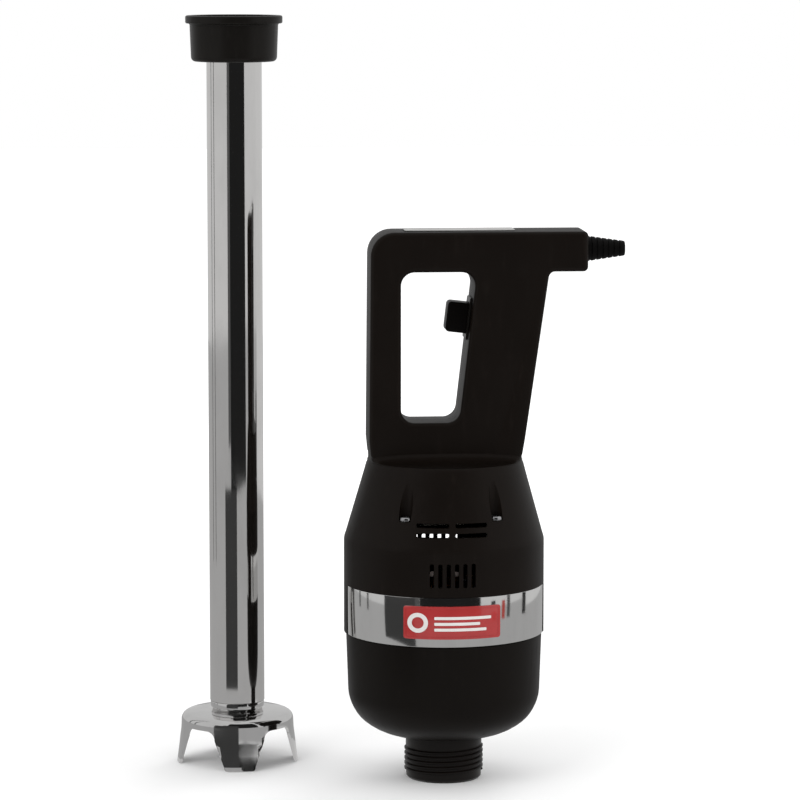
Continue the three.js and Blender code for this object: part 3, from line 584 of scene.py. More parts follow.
def soften(obj: bpy.types.Object, width: float, segments: int = 3, angle: float = 35) -> None:
    """Rounds a piece's edges that are sharper than an angle."""
    pick(obj)
    modifier = obj.modifiers.new("soften", "BEVEL")
    modifier.width = width * MM
    modifier.segments = segments
    modifier.limit_method = "ANGLE"
    modifier.angle_limit = math.radians(angle)
    modifier.harden_normals = False
    bpy.ops.object.modifier_apply(modifier=modifier.name)


def smooth(obj: bpy.types.Object, angle: float = 32) -> None:
    """Shades a piece smoothly up to an angle."""
    pick(obj)
    bpy.ops.object.shade_smooth_by_angle(angle=math.radians(angle))


def again(obj: bpy.types.Object, name: str, move: Sequence[float] = (0, 0, 0)) -> bpy.types.Object:
    """Copies a piece with its own mesh and moves the copy, in millimetres."""
    pick(obj)
    bpy.ops.object.duplicate()
    copy = bpy.context.object
    copy.location = metres(move)
    return settle(copy, name)


def arc(centre: Point, radius: float, start: float, end: float, steps: int = 6,
        flatten: float = 1.0) -> list[Point]:
    """Lists points round part of a circle or an ellipse.

    Args:
        centre: Its middle.
        radius: Its radius along the first axis.
        start: The first angle, in degrees.
        end: The last angle, in degrees.
        steps: How many straight pieces it has.
        flatten: Its second radius as a share of the first.

    Returns:
        The points, both ends included.
    """
    points = []
    for i in range(steps + 1):
        angle = math.radians(start + (end - start) * i / steps)
        points.append((centre[0] + radius * math.cos(angle), centre[1] + flatten * radius * math.sin(angle)))
    return points


def rounded(corners: Sequence[tuple[float, float, float]], steps: int = 8) -> list[Point]:
    """Rounds the corners of a polygon.

    Args:
        corners: Each corner's place and radius.
        steps: How many straight pieces each round has.

    Returns:
        The outline's points.
    """
    points: list[Point] = []
    places = [Vector(c[:2]) for c in corners]
    for i, (x, z, radius) in enumerate(corners):
        here = places[i]
        before = (places[i - 1] - here).normalized()
        after = (places[(i + 1) % len(places)] - here).normalized()
        if radius == 0:
            points.append((x, z))
            continue
        half = before.angle(after) / 2
        reach = radius / math.tan(half)
        middle = here + (before + after).normalized() * (radius / math.sin(half))
        first, last = here + before * reach - middle, here + after * reach - middle
        sweep = first.angle_signed(last)
        for k in range(steps + 1):
            turn = -sweep * k / steps
            cosine, sine = math.cos(turn), math.sin(turn)
            points.append((
                middle.x + first.x * cosine - first.y * sine,
                middle.y + first.x * sine + first.y * cosine,
            ))
    return points


def slab(name: str, outline: Sequence[Point], near: float, far: float) -> bpy.types.Object:
    """Pulls an outline in the XZ plane through a depth along Y, in millimetres."""
    clear_bench()
    bpy.ops.mesh.primitive_circle_add(vertices=len(outline), radius=1, fill_type="NGON")
    obj = bpy.context.object
    for vertex, (x, z) in zip(obj.data.vertices, outline):
        vertex.co = metres((x, near, z))
    with editing(obj):
        depth = (0, (far - near) * MM, 0)
        bpy.ops.mesh.extrude_region_move(TRANSFORM_OT_translate={"value": depth})
        bpy.ops.mesh.select_all(action="SELECT")
        bpy.ops.mesh.normals_make_consistent(inside=False)
    return settle(obj, name)


def laid(obj: bpy.types.Object, turn: tuple[float, float, float], move: Sequence[float]) -> bpy.types.Object:
    """Turns a piece about the frame's origin, then moves it, in degrees and millimetres."""
    obj.rotation_euler = [math.radians(t) for t in turn]
    obj.location = metres(move)
    return settle(obj, obj.name)


def thread(name: str, radius: float, depth: float, foot: float, pitch: float, turns: int,
           outward: bool = True, steps: int = 64) -> bpy.types.Object:
    """Winds a blunt ridge round the axis.

    Args:
        name: The piece's name.
        radius: The wall that the ridge stands on.
        depth: How far it stands out of the wall.
        foot: Height of its first turn.
        pitch: Rise of one turn.
        turns: How many turns it has.
        outward: True on a bolt, False in a nut.
        steps: Straight pieces in one turn.

    Returns:
        The ridge, closed at both ends.
    """
    clear_bench()
    side = 1 if outward else -1
    half = pitch * 0.40
    section = [
        (-0.5 * side, -half), (depth * side, -half * 0.35), (depth * side, half * 0.35), (-0.5 * side, half),
    ]
    bpy.ops.mesh.primitive_circle_add(vertices=len(section), radius=1, fill_type="NOTHING")
    obj = bpy.context.object
    for vertex, (out, rise) in zip(obj.data.vertices, section):
        vertex.co = metres((radius + out, 0, foot + half + rise))
    pick(obj)
    modifier = obj.modifiers.new("wind", "SCREW")
    modifier.screw_offset = pitch * MM
    modifier.iterations = turns
    modifier.steps = steps
    modifier.render_steps = steps
    bpy.ops.object.modifier_apply(modifier=modifier.name)
    close_ends(obj)
    tidy_normals(obj)
    return settle(obj, name)


def present(obj: bpy.types.Object, axis: Point, body: str, nodes: Sequence[str],
            finish: Finish) -> None:
    """Moves a finished piece to its axis, dresses it and hangs it on its body.

    Args:
        obj: The piece, made about its own axis.
        axis: Where the axis stands, in millimetres.
        body: The body that it rides on.
        nodes: The frame's nodes that it stands for.
        finish: What it is dressed in.
    """
    obj.location = metres((*axis, 0))
    settle(obj, obj.name)
    finish.on(obj)
    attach(obj, body)
    if nodes:
        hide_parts(*nodes)
    LOG.info("%s: %d faces on %s", obj.name, len(obj.data.polygons), body)


def middle_of(node: str) -> Point:
    """Gives the X and Y of the middle of a frame node, in millimetres."""
    low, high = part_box(node)
    return ((low[0] + high[0]) / 2 / MM, (low[1] + high[1]) / 2 / MM)


def span_of(node: str) -> Point:
    """Gives a frame node's lowest and highest height, in millimetres."""
    low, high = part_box(node)
    return low[2] / MM, high[2] / MM


def inset(corners: Sequence[tuple[float, float, float]], distance: float) -> list[tuple[float, float, float]]:
    """Moves every side of a counter-clockwise outline inwards.

    Args:
        corners: Each corner's place and radius.
        distance: How far the sides move, in millimetres.

    Returns:
        The moved corners, each with its radius made to fit.
    """
    count = len(corners)
    sides = []
    for i, (x, z, _) in enumerate(corners):
        next_x, next_z, _ = corners[(i + 1) % count]
        along = Vector((next_x - x, next_z - z)).normalized()
        sides.append((Vector((x - along.y * distance, z + along.x * distance)), along))
    moved = []
    for i, (start, along) in enumerate(sides):
        other, other_along = sides[i - 1]
        across = start - other
        turn = other_along.x * along.y - other_along.y * along.x
        reach = (across.x * along.y - across.y * along.x) / turn
        corner = other + other_along * reach
        moved.append((corner.x, corner.y, max(corners[i][2] - distance, 1.0)))
    return moved


def loft(name: str, rings: Sequence[Sequence[Sequence[float]]]) -> bpy.types.Object:
    """Skins a solid through closed rings that each have the same number of points.

    Args:
        name: The piece's name.
        rings: The rings' points, in millimetres, from one end to the other.

    Returns:
        The new object, capped at both ends.
    """
    shape = bmesh.new()
    loops = [[shape.verts.new(metres(point)) for point in points] for points in rings]
    for low, high in zip(loops, loops[1:]):
        for i, vertex in enumerate(low):
            j = (i + 1) % len(low)
            shape.faces.new((vertex, low[j], high[j], high[i]))
    shape.faces.new(list(reversed(loops[0])))
    shape.faces.new(loops[-1])
    mesh = bpy.data.meshes.new(name)
    shape.to_mesh(mesh)
    shape.free()
    obj = bpy.data.objects.new(name, mesh)
    bpy.context.scene.collection.objects.link(obj)
    tidy_normals(obj)
    return obj


# ---- Studio ---------------------------------------------------------------------------------------


@dataclass
class Card:
    """A light or dark sheet bent round the parts, which only reflections show."""

    name: str
    start: float         # where it starts, in degrees from straight ahead towards the right
    end: float
    foot: Point          # how far out its lower edge stands and how high, in metres
    head: Point          # how far out its upper edge stands and how high
    tone: Colour
    centre: Point = (0.0, 0.0)

    def hang(self) -> None:
        """Makes the card and hides it from everything but reflections."""
        clear_bench()
        steps = max(1, round((self.end - self.start) / 6))
        bpy.ops.mesh.primitive_grid_add(x_subdivisions=steps, y_subdivisions=1, size=1)
        obj = bpy.context.object
        obj.name = self.name
        for vertex in obj.data.vertices:
            angle = math.radians(self.start + (vertex.co.x + 0.5) * (self.end - self.start))
            reach, height = self.foot if vertex.co.y < 0 else self.head
            vertex.co = (
                self.centre[0] + reach * math.sin(angle), self.centre[1] - reach * math.cos(angle), height,
            )
        graph = Graph(self.name)
        glow = graph.node("ShaderNodeEmission", {}, {"Color": (*self.tone, 1.0), "Strength": 1.0})
        graph.node("ShaderNodeOutputMaterial", {}, {"Surface": Value(graph, glow.outputs[0])})
        obj.data.materials.append(graph.material)
        for kind in ("camera", "diffuse", "shadow", "transmission", "volume_scatter"):
            setattr(obj, f"visible_{kind}", False)


def grey(level: float) -> Colour:
    """Makes a grey tone."""
    return (level, level, level)


ROD_FOOT = (-0.1014, 0.0414)
CARDS = (
    Card("table_tone", -180, 180, (0.10, 0.003), (2.6, 0.003), grey(0.40)),
    Card("camera_side", -30, 37, (0.95, 0.035), (0.95, 1.6), grey(0.014)),
    Card("camera_side_margin", -40, -30, (0.90, 0.09), (0.90, 0.62), grey(0.09)),
    Card("dark_foot", -48, 0, (0.25, 0.002), (0.25, 0.145), grey(0.045), ROD_FOOT),
    Card("line_right_1", 49, 54, (0.75, 0.0), (0.75, 0.13), grey(0.02)),
    Card("line_right_red", 62, 66, (0.72, 0.0), (0.72, 0.12), (0.40, 0.06, 0.05)),
    Card("line_right_2", 69, 73, (0.75, 0.0), (0.75, 0.26), grey(0.07)),
    Card("line_right_3", 92, 98, (0.75, 0.0), (0.75, 0.14), grey(0.02)),
    Card("line_left_1", -101, -98, (0.90, 0.0), (0.90, 1.2), grey(0.12)),
    Card("line_left_2", -116, -113, (0.90, 0.0), (0.90, 1.2), grey(0.12)),
    Card("bright_right", 100, 160, (1.10, 0.0), (1.10, 1.6), grey(0.62)),
)


@dataclass
class Studio:
    """The camera, the pale floor and the soft lights."""

    azimuth: float = -4.5
    elevation: float = 7.0
    distance: float = 2.40
    aim: tuple[float, float, float] = (-0.0006, -0.0166, 0.2405)
    field: float = 0.5013         # width of the view at the aim
    room_tone: float = 0.60       # what the steel shows of the room

    def stand_camera(self) -> None:
        """Places the camera on its aim."""
        turn, rise = math.radians(self.azimuth), math.radians(self.elevation)
        back = Vector((
            math.sin(turn) * math.cos(rise), -math.cos(turn) * math.cos(rise), math.sin(rise),
        ))
        clear_bench()
        bpy.ops.object.camera_add(location=Vector(self.aim) + back * self.distance)
        camera = bpy.context.object
        camera.name = "camera"
        camera.rotation_euler = back.to_track_quat("Z", "Y").to_euler()
        camera.data.sensor_width = 36
        camera.data.lens = 36 * self.distance / self.field
        camera.data.clip_end = 50
        bpy.context.scene.camera = camera

    def lay_floor(self) -> None:
        """Lays the pale sheet that the parts stand on."""
        clear_bench()
        bpy.ops.mesh.primitive_plane_add(size=14)
        floor = settle(bpy.context.object, "floor")
        SHEET.on(floor)
        floor.visible_glossy = False

    def light(self) -> None:
        """Lights the room, hangs the soft boxes and stands the cards."""
        world = bpy.data.worlds.new("room")
        world.use_nodes = True
        nodes, links = world.node_tree.nodes, world.node_tree.links
        sky = nodes["Background"]
        sky.inputs["Color"].default_value = (1.0, 1.0, 1.0, 1.0)
        ray = nodes.new("ShaderNodeLightPath")
        level = nodes.new("ShaderNodeMapRange")
        level.inputs["To Min"].default_value = 1.0
        level.inputs["To Max"].default_value = self.room_tone
        links.new(ray.outputs["Is Glossy Ray"], level.inputs["Value"])
        links.new(level.outputs["Result"], sky.inputs["Strength"])
        bpy.context.scene.world = world
        self.soft_box("key_light", (-1.3, -1.5, 1.7), 1.2, 14)
        self.soft_box("side_light", (1.7, -0.7, 0.8), 0.9, 10)
        self.soft_box("rear_light", (0.9, 1.6, 1.3), 0.8, 8)
        for card in CARDS:
            card.hang()

    def soft_box(self, name: str, place: Sequence[float], size: float, power: float) -> None:
        """Hangs a square light that faces the parts."""
        clear_bench()
        bpy.ops.object.light_add(type="AREA", location=place)
        lamp = bpy.context.object
        lamp.name = name
        lamp.data.size = size
        lamp.data.energy = power
        aim = Vector(self.aim) - Vector(place)
        lamp.rotation_euler = aim.to_track_quat("-Z", "Y").to_euler()
        lamp.visible_glossy = False


# ---- Mixing rod ------------------------------------------------------------------------------------


@dataclass
class MixingRod:
    """The tube with its guard, blade and collar nut. Sizes count from the rod's own axis."""

    axis: Point = field(default_factory=lambda: middle_of("drive_shaft"))
    tube_radius: float = 17.5
    tube_wall: float = 1.5
    guard_radius: float = 39.0
    shoulder_radius: float = 36.0
    guard_wall: float = 2.2
    shoulder: float = 33.0
    skirt: float = 24.0
    leg_foot: float = 21.0
    leg_top: float = 34.0
    toe: float = 3.0
    thread_bore: float = 26.3
    pitch: float = 3.2
    blade_reach: float = 27.0
    blade_tilt: float = 14.0

    def build(self) -> None:
        """Builds and presents every piece of the rod."""
        self.tube()
        self.guard()
        self.clamp_rings()
        self.nut()
        self.coupling()
        self.cutter()

    def show(self, obj: bpy.types.Object, body: str, nodes: Sequence[str], slot: str, finish: Finish) -> None:
        """Presents a piece on the rod's axis."""
        present(obj, self.axis, body, nodes, finish)

    def tube(self) -> None:
        """Builds the polished tube, with its ends broken and a groove for the snap ring."""
        foot, top = span_of("shaft_tube")
        ring_foot, ring_top = span_of("snap_ring")
        r, bore, edge, deep = self.tube_radius, self.tube_radius - self.tube_wall, 0.3, 0.6
        obj = turned("polished_tube", [
            (bore, foot), (r - edge, foot), (r, foot + edge), (r, ring_foot - 0.2),
            (r - deep, ring_foot - 0.2), (r - deep, ring_top + 0.2), (r, ring_top + 0.2),
            (r, top - edge), (r - edge, top), (bore, top),
        ], segments=192)
        smooth(obj)
        self.show(obj, "mixing_rod", ["shaft_tube"], "polished_steel", MIRROR)

    def guard(self) -> None:
        """Builds the spun bell guard: hub rings, domed cap, flared skirt and four legs."""
        r, foot, s, wall = self.shoulder_radius, self.guard_radius, self.shoulder, self.guard_wall
        tube = 39.5
        outside = [
            (foot - 0.4, 0.0), (foot, 0.5), (foot - 0.5, 4.0), (foot - 1.3, 10.0),
            (r + 0.9, 17.0), (r + 0.25, 22.0),
            *arc((r - 5.0, s - 5.4), 5.0, 0, 78, 9), (r - 9, s + 0.15), (25, s + 0.55), (20, s + 0.8),
            (18.2, s + 0.9), (16.6, s + 1.3), (15.6, s + 1.9),
        ]
        hub = [
            (15.6, s + 2.5), (16.9, s + 2.7), (17.1, s + 3.0),
            (17.2, tube - 0.5), (17.0, tube), (15.85, tube),
        ]
        under = s - wall
        inside = [
            (15.85, tube + 14), (13.4, tube + 14), (13.4, under - 2), (18.5, under - 2), (20.5, under),
            (r - 7.5, under - 0.3), (r - 4.6, under - 1.2), (r - wall - 0.6, under - 3.4),
            (r - wall, under - 7.0), (foot - wall - 1.2, 8.0), (foot - wall, 0.4), (foot - wall + 0.4, 0.0),
        ]
        bell = turned("spun_guard", outside + hub + inside, segments=144)
        for side in (45, 135):
            arch = slab("arch", self.arch(), -foot * 1.5, foot * 1.5)
            combine(bell, laid(arch, (0, 0, side), (0, 0, 0)), Cut.REMOVE)
        soften(bell, 0.45, segments=2, angle=55)
        smooth(bell, 30)
        self.show(bell, "mixing_rod", ["bell_guard"], "polished_steel", GUARD_STEEL)

    def arch(self) -> list[Point]:
        """Gives the outline of the passage between two legs."""
        def half(radius: float, leg: float) -> float:
            """Gives half the passage's width at a radius, for a leg's width there."""
            return radius * math.sin(math.pi / 4 - leg / (2 * radius))
        foot, top = half(self.guard_radius, self.leg_foot), half(self.shoulder_radius, self.leg_top)
        toe = self.toe
        right = [
            (foot + toe, -4), (foot + toe, 0), *arc((foot + toe, toe), toe, 270, 180, 5)[1:],
            *arc((top - 5.0, self.skirt - 5.0), 6.0, -10, 90, 8)[1:-1], (top - 6.0, self.skirt + 1.0),
        ]
        return right + [(-x, z) for x, z in reversed(right)]

    def clamp_rings(self) -> None:
        """Builds the flange, the gasket and the slip washer that the nut works against."""
        r = self.tube_radius
        for name, node, body, outer, bore, slot, finish in (
            ("clamping_flange", "tube_flange", "mixing_rod", 23.4, r + 0.15, "steel", STEEL),
            ("flange_seal", "flange_gasket", "mixing_rod", 22.4, r - 1.0, "gasket_rubber", SEAL),
            ("thrust_washer", "slip_washer", "slip_ring", 23.4, r + 0.3, "steel", STEEL),
        ):
            foot, top = span_of(node)
            edge = 0.25
            obj = turned(name, [
                (bore, foot), (outer - edge, foot), (outer, foot + edge), (outer, top - edge),
                (outer - edge, top), (bore, top),
            ], segments=96)
            smooth(obj)
            self.show(obj, body, [node], slot, finish)

    def nut(self) -> None:
        """Builds the collar nut: rounded rim, smooth skirt, recessed foot and three turns of thread."""
        foot, top = span_of("collar_nut")
        r, bore = self.tube_radius + 0.3, self.thread_bore
        rim, skirt_top, skirt_foot, rim_foot = 30.75, 28.0, 27.25, top - 5.0
        obj = turned("collar_nut_shell", [
            (r, foot + 2.5), (r + 3.7, foot + 2.5), (r + 3.7, foot),
            *arc((skirt_foot - 3.0, foot + 3.0), 3.0, -90, 0, 8), (skirt_top, rim_foot - 1.2),
            *[(skirt_top + 1.2 - x, rim_foot - 1.2 + z) for x, z in arc((0, 0), 1.2, 0, 90, 4)][1:],
            *arc((rim - 1.0, rim_foot + 1.0), 1.0, -90, 0, 5), *arc((rim - 1.2, top - 1.2), 1.2, 0, 90, 6),
            (bore + 1.2, top), (bore, top - 1.2), (bore, foot + 6.5), (r, foot + 6.5),
        ], segments=160)
        smooth(obj, 40)
        ridge = thread("nut_thread", bore, 0.9, top - 4.0 - 3 * self.pitch, self.pitch, 3, outward=False)
        smooth(ridge)
        self.show(obj, "collar", ["collar_nut"], "black_plastic", BLACK)
        self.show(ridge, "collar", [], "black_plastic", BLACK)

    def coupling(self) -> None:
        """Builds the cup that takes the motor's square dog."""
        foot, top = span_of("shaft_coupling")
        outer, socket, floor = 9.2, 4.5, top - 5.9
        obj = turned("drive_cup", [
            (0.001, foot), (outer - 0.6, foot), (outer, foot + 0.6),
            (outer, top - 1.0), (outer - 1.0, top), (0.001, top),
        ], segments=72, ring=False)
        combine(obj, block("socket", (-socket, -socket, floor), (socket, socket, top + 1)), Cut.REMOVE)
        combine(obj, pin("shaft_bore", 4.15, (0, 0, foot - 1), (0, 0, floor - 1.5)), Cut.REMOVE)
        soften(obj, 0.3, segments=2, angle=60)
        smooth(obj)
        self.show(obj, "blade_shaft", ["shaft_coupling"], "pale_moulding", NYLON)

    def cutter(self) -> None:
        """Builds the drive shaft, the two-winged blade and the nut under it."""
        foot, top = span_of("drive_shaft")
        shaft = turned("blade_drive_shaft", [
            (0.001, foot), (3.2, foot), (4.0, foot + 0.8), (4.0, top - 0.8), (3.2, top), (0.001, top),
        ], segments=48, ring=False)
        smooth(shaft)
        self.show(shaft, "blade_shaft", ["drive_shaft"], "steel", STEEL)
        low, high = span_of("blade")
        middle = (low + high) / 2
        hub = turned("winged_blade", [
            (4.15, low + 0.5), (7.0, low), (7.5, low + 0.5),
            (7.5, high - 0.5), (7.0, high), (4.15, high - 0.3),
        ], segments=64)
        for side, turn in ((1, 90), (-1, 270)):
            combine(hub, self.wing(side, turn, middle), Cut.JOIN)
        soften(hub, 0.15, segments=2, angle=50)
        smooth(hub)
        self.show(hub, "blade_shaft", ["blade"], "polished_steel", BLADE_STEEL)
        low, high = span_of("blade_nut")
        nut = turned("blade_lock_nut", [
            (4.15, low), (6.0, low), (6.6, low + 0.5), (6.6, high - 0.5), (6.0, high), (4.15, high),
        ], segments=48)
        flats = turned("flats", [
            (0.001, low - 1), (6.45, low - 1), (6.45, high + 1), (0.001, high + 1),
        ], segments=6, ring=False)
        combine(nut, flats, Cut.KEEP_COMMON)
        smooth(nut, 25)
        self.show(nut, "blade_shaft", ["blade_nut"], "steel", STEEL)

    def wing(self, side: int, turn: float, height: float) -> bpy.types.Object:
        """Makes one wing of the blade, ground to an edge on its leading side.

        Args:
            side: 1 tips it up, -1 tips it down.
            turn: Where it points, in degrees.
            height: The height of the blade's middle.

        Returns:
            The wing.
        """
        reach, half = self.blade_reach, 1.2
        outline = rounded([(5, -5.5, 0), (reach, -4, 3), (reach, 4, 3), (5, 5.5, 0)], steps=6)
        flat = slab("wing", outline, -half, half)
        for vertex in flat.data.vertices:
            if vertex.co.y > 0 and vertex.co.z > 2 * MM and vertex.co.x > 8 * MM:
                vertex.co.y = 0.1 * MM
        laid(flat, (90, 0, 0), (0, 0, 0))
        laid(flat, (self.blade_tilt * side, 0, 0), (0, 0, 0))
        return laid(flat, (0, 0, turn), (0, 0, height))


# ---- Motor unit ------------------------------------------------------------------------------------


@dataclass
class MotorUnit:
    """The motor's casing with its D-handle, and what is fixed to it. Sizes count from the motor's axis."""

    axis: Point = field(default_factory=lambda: middle_of("motor_shaft"))
    drum: float = 63.0
    drum_foot: float = 94.0
    drum_top: float = 154.4
    wall: float = 3.0
    shoulder: float = 48.9
    shoulder_top: float = 203.0
    lean: float = 0.5
    band_top: float = 125.3
    band_recess: float = 1.7
    pillar: float = 22.0
    handle_depth: float = 38.0
    handle_edge: float = 4.0
    shelf_rise: float = 9.0
    handle: Sequence[tuple[float, float, float]] = (
        (-47.0, 205.0, 0.0), (47.3, 205.0, 0.0), (49.4, 217.0, 0.0), (64.4, 322.0, 4.0), (88.5, 322.0, 3.0),
        (88.5, 347.0, 3.0), (-47.1, 347.0, 15.0), (-48.2, 217.0, 0.0),
    )
    opening: Sequence[tuple[float, float, float]] = (
        (-28.3, 228.0, 8.5), (7.9, 228.0, 8.5), (18.8, 322.0, 8.5), (-28.3, 322.0, 8.5),
    )
    screw_x: float = 27.8
    screw_y: float = 48.15
    screw_seat: float = 171.0
    pocket: float = 4.3
    boot_height: float = 335.0
    block_end: float = 88.5
    trigger_height: float = 292.1
    seam: float = 0.15

    def build(self) -> None:
        """Builds and presents every piece of the motor unit that shows."""
        self.shells()
        self.bands()
        self.badge()
        self.rating_plate()
        self.lower_housing()
        self.neck()
        self.housing_screws()
        self.shell_screws()
        self.neck_screws()
        self.cable_boot()
        self.trigger()
        self.dog()

    def show(self, obj: bpy.types.Object, nodes: Sequence[str], slot: str, finish: Finish,
             body: str = "motor_unit") -> None:
        """Presents a piece on the motor's axis."""
        present(obj, self.axis, body, nodes, finish)

    # -- Casing

    def shells(self) -> None:
        """Builds the hollow casing and parts it into its front and rear shells."""
        casing = self.skin()
        combine(casing, self.drum_hollow(), Cut.REMOVE)
        combine(casing, self.handle_hollow(), Cut.REMOVE)
        for tool in self.posts():
            combine(casing, tool, Cut.JOIN)
        holes = (self.trigger_slot(), self.boot_hole())
        for tool in (*self.pockets(), *self.vents(), *self.band_grooves(), *holes):
            combine(casing, tool, Cut.REMOVE)
        for name, node, near, far in (
            ("front_shell", "handle_front_shell", -200, -self.seam),
            ("rear_shell", "handle_rear_shell", self.seam, 200),
        ):
            half = again(casing, name)
            combine(half, block("side", (-200, near, 0), (200, far, 500)), Cut.KEEP_COMMON)
            if near > 0:
                self.cut_shell_screw_holes(half)
            tidy_normals(half)
            smooth(half, 28)
            self.show(half, [node], "casing", CASING)
        bpy.data.objects.remove(casing)

    def skin(self) -> bpy.types.Object:
        """Makes the outside of the casing as one solid: drum, shoulder, shelf and handle."""
        rings = [self.circle(radius, height) for radius, height in (
            (self.drum - 0.25, self.drum_foot), (self.drum, self.drum_foot + 0.25),
            (self.drum, self.drum_top - 4), (self.drum, self.drum_top - 2),
            (self.drum - 0.12, self.drum_top - 0.6),
            (self.drum - 0.42, self.drum_top + 0.8), (self.drum - 0.95, self.drum_top + 2.2),
            (self.shoulder + 2.0, self.shoulder_top - 7.4), (self.shoulder + 0.5, self.shoulder_top - 1.9),
            (self.shoulder - 0.3, self.shoulder_top - 0.5),
        )]
        top = self.shoulder_top
        for along, rise in (
            (0.03, 0.02), (0.35, 0.05), (0.55, 0.09), (0.70, 0.15), (0.80, 0.23), (0.88, 0.35),
            (0.94, 0.50), (0.98, 0.70), (1.0, 1.0),
        ):
            height = top + self.shelf_rise * rise
            outer, inner = self.circle(self.shoulder, top), self.section()
            rings.append([
                (a[0] + (b[0] - a[0]) * along, a[1] + (b[1] - a[1]) * along, height)
                for a, b in zip(outer, inner)
            ])
        drum = loft("casing", rings)
        outline = rounded(self.handle, steps=10)
        grip = slab("grip", outline, -self.handle_depth / 2, self.handle_depth / 2)
        hole = slab("hole", rounded(self.opening, steps=10), -self.handle_depth, self.handle_depth)
        combine(grip, hole, Cut.REMOVE)
        soften(grip, self.handle_edge, segments=6, angle=60)
        return combine(drum, grip, Cut.JOIN)

    def circle(self, radius: float, height: float, count: int = 144) -> list[tuple[float, float, float]]:
        """Gives a level ring of the drum or the leaning shoulder."""
        share = max(height - self.drum_top, 0) / (self.shoulder_top - self.drum_top)
        points = arc((self.lean * min(share, 1), 0), radius, 0, 360, count)[:-1]
        return [(x, y, height) for x, y in points]

    def section(self, count: int = 144) -> list[Point]:
        """Gives the outline of the handle's foot, seen from above and a little inside its skin."""
        reach_left, reach_right = -self.handle[-1][0] - 1.0, self.handle[2][0] - 1.6
        half, edge = self.handle_depth / 2 - 1.0, self.handle_edge
        points = []
        for i in range(count):
            angle = 2 * math.pi * i / count
            cosine, sine = math.cos(angle), math.sin(angle)
            reach = reach_right if cosine > 0 else reach_left
            x = math.copysign(min(abs(cosine) ** 0.8 * reach * 1.12, reach), cosine)
            y = math.copysign(min(abs(sine) * half * 2.2, half), sine)
            over_x, over_y = abs(x) - (reach - edge), abs(y) - (half - edge)
            if over_x > 0 and over_y > 0:
                length = max(math.hypot(over_x, over_y), 1e-6)
                pull = min(1.0, edge / length)
                x = math.copysign(reach - edge + over_x * pull, x)
                y = math.copysign(half - edge + over_y * pull, y)
            points.append((x, y))
        return points

    def drum_hollow(self) -> bpy.types.Object:
        """Makes the space inside the drum and the shoulder."""
        slope_wall = self.wall + 0.6
        bore = self.drum - self.band_recess - 2.4
        rings = [self.circle(radius, height) for radius, height in (
            (bore, self.drum_foot - 1), (bore, self.drum_top - 1),
            (self.shoulder - slope_wall, self.shoulder_top - self.wall),
        )]
        return loft("hollow", rings)

    def handle_hollow(self) -> bpy.types.Object:
        """Makes the space inside the handle."""
        half = self.handle_depth / 2 - self.wall
        space = slab("handle_space", rounded(inset(self.handle, self.wall), steps=4), -half, half)
        core = slab("core", rounded(inset(self.opening, -self.wall), steps=4), -half - 5, half + 5)
        space = combine(space, core, Cut.REMOVE)
        top = self.shoulder_top
        passage = block("passage", (-40, -half + 1, top - 6), (41, half - 1, top + 12))
        return combine(space, passage, Cut.JOIN)

    def screw_places(self) -> list[tuple[float, float]]:
        """Lists where the four housing screws stand."""
        return [(sx * self.screw_x, sy * self.screw_y) for sx, sy in ((-1, -1), (1, -1), (-1, 1), (1, 1))]

    def posts(self) -> list[bpy.types.Object]:
        """Makes the posts that carry the housing screws, trimmed to the casing."""
        posts = []
        for x, y in self.screw_places():
            post = pin("post", 5.8, (x, y, self.drum_foot + 0.5), (x, y, self.shoulder_top + 2))
            posts.append(combine(post, self.inner_form(), Cut.KEEP_COMMON))
        return posts

    def inner_form(self) -> bpy.types.Object:
        """Makes the drum and shoulder a little smaller than their outside."""
        return loft("form", [self.circle(radius, height) for radius, height in (
            (self.drum - self.band_recess - 0.8, self.drum_foot),
            (self.drum - self.band_recess - 0.8, self.drum_top - 1),
            (self.shoulder - 0.6, self.shoulder_top - 0.8),
        )])

    def pockets(self) -> list[bpy.types.Object]:
        """Makes the upright pockets of the housing screws, which leave teardrops in the shoulder."""
        tools = []
        for x, y in self.screw_places():
            tools.append(pin("pocket", self.pocket, (x, y, self.screw_seat), (x, y, self.shoulder_top + 20)))
            tools.append(pin("shank_hole", 2.3, (x, y, self.drum_foot - 1), (x, y, self.screw_seat + 1), 24))
        return tools

    def vents(self) -> list[bpy.types.Object]:
        """Makes the cooling slots in the front and the rear: six upright, and two rows of two level ones."""
        tools = []
        near, far = self.drum - 14, self.drum + 5
        shapes = [((i - 2.5) * 5.15, 138.7, 1.3, 7.5) for i in range(6)]
        shapes += [(side * 11.85, z, 10.0, 1.4) for z in (163.2, 169.2) for side in (-1, 1)]
        for x, z, half_x, half_z in shapes:
            round_ = min(half_x, half_z) * 0.8
            outline = rounded([
                (x - half_x, z - half_z, round_), (x + half_x, z - half_z, round_),
                (x + half_x, z + half_z, round_), (x - half_x, z + half_z, round_),
            ], steps=4)
            tools.append(slab("vent", outline, -far, -near))
            tools.append(slab("vent", outline, near, far))
        return tools

    def band_grooves(self) -> list[bpy.types.Object]:
        """Makes the two grooves that the steel bands lie in."""
        inner, outer, foot = self.drum - self.band_recess, self.drum + 2, self.drum_foot - 1
        return [
            self.arc_strip("groove", side, inner, outer, foot, self.band_top, self.pillar / 2, 0)
            for side in (-1, 1)
        ]

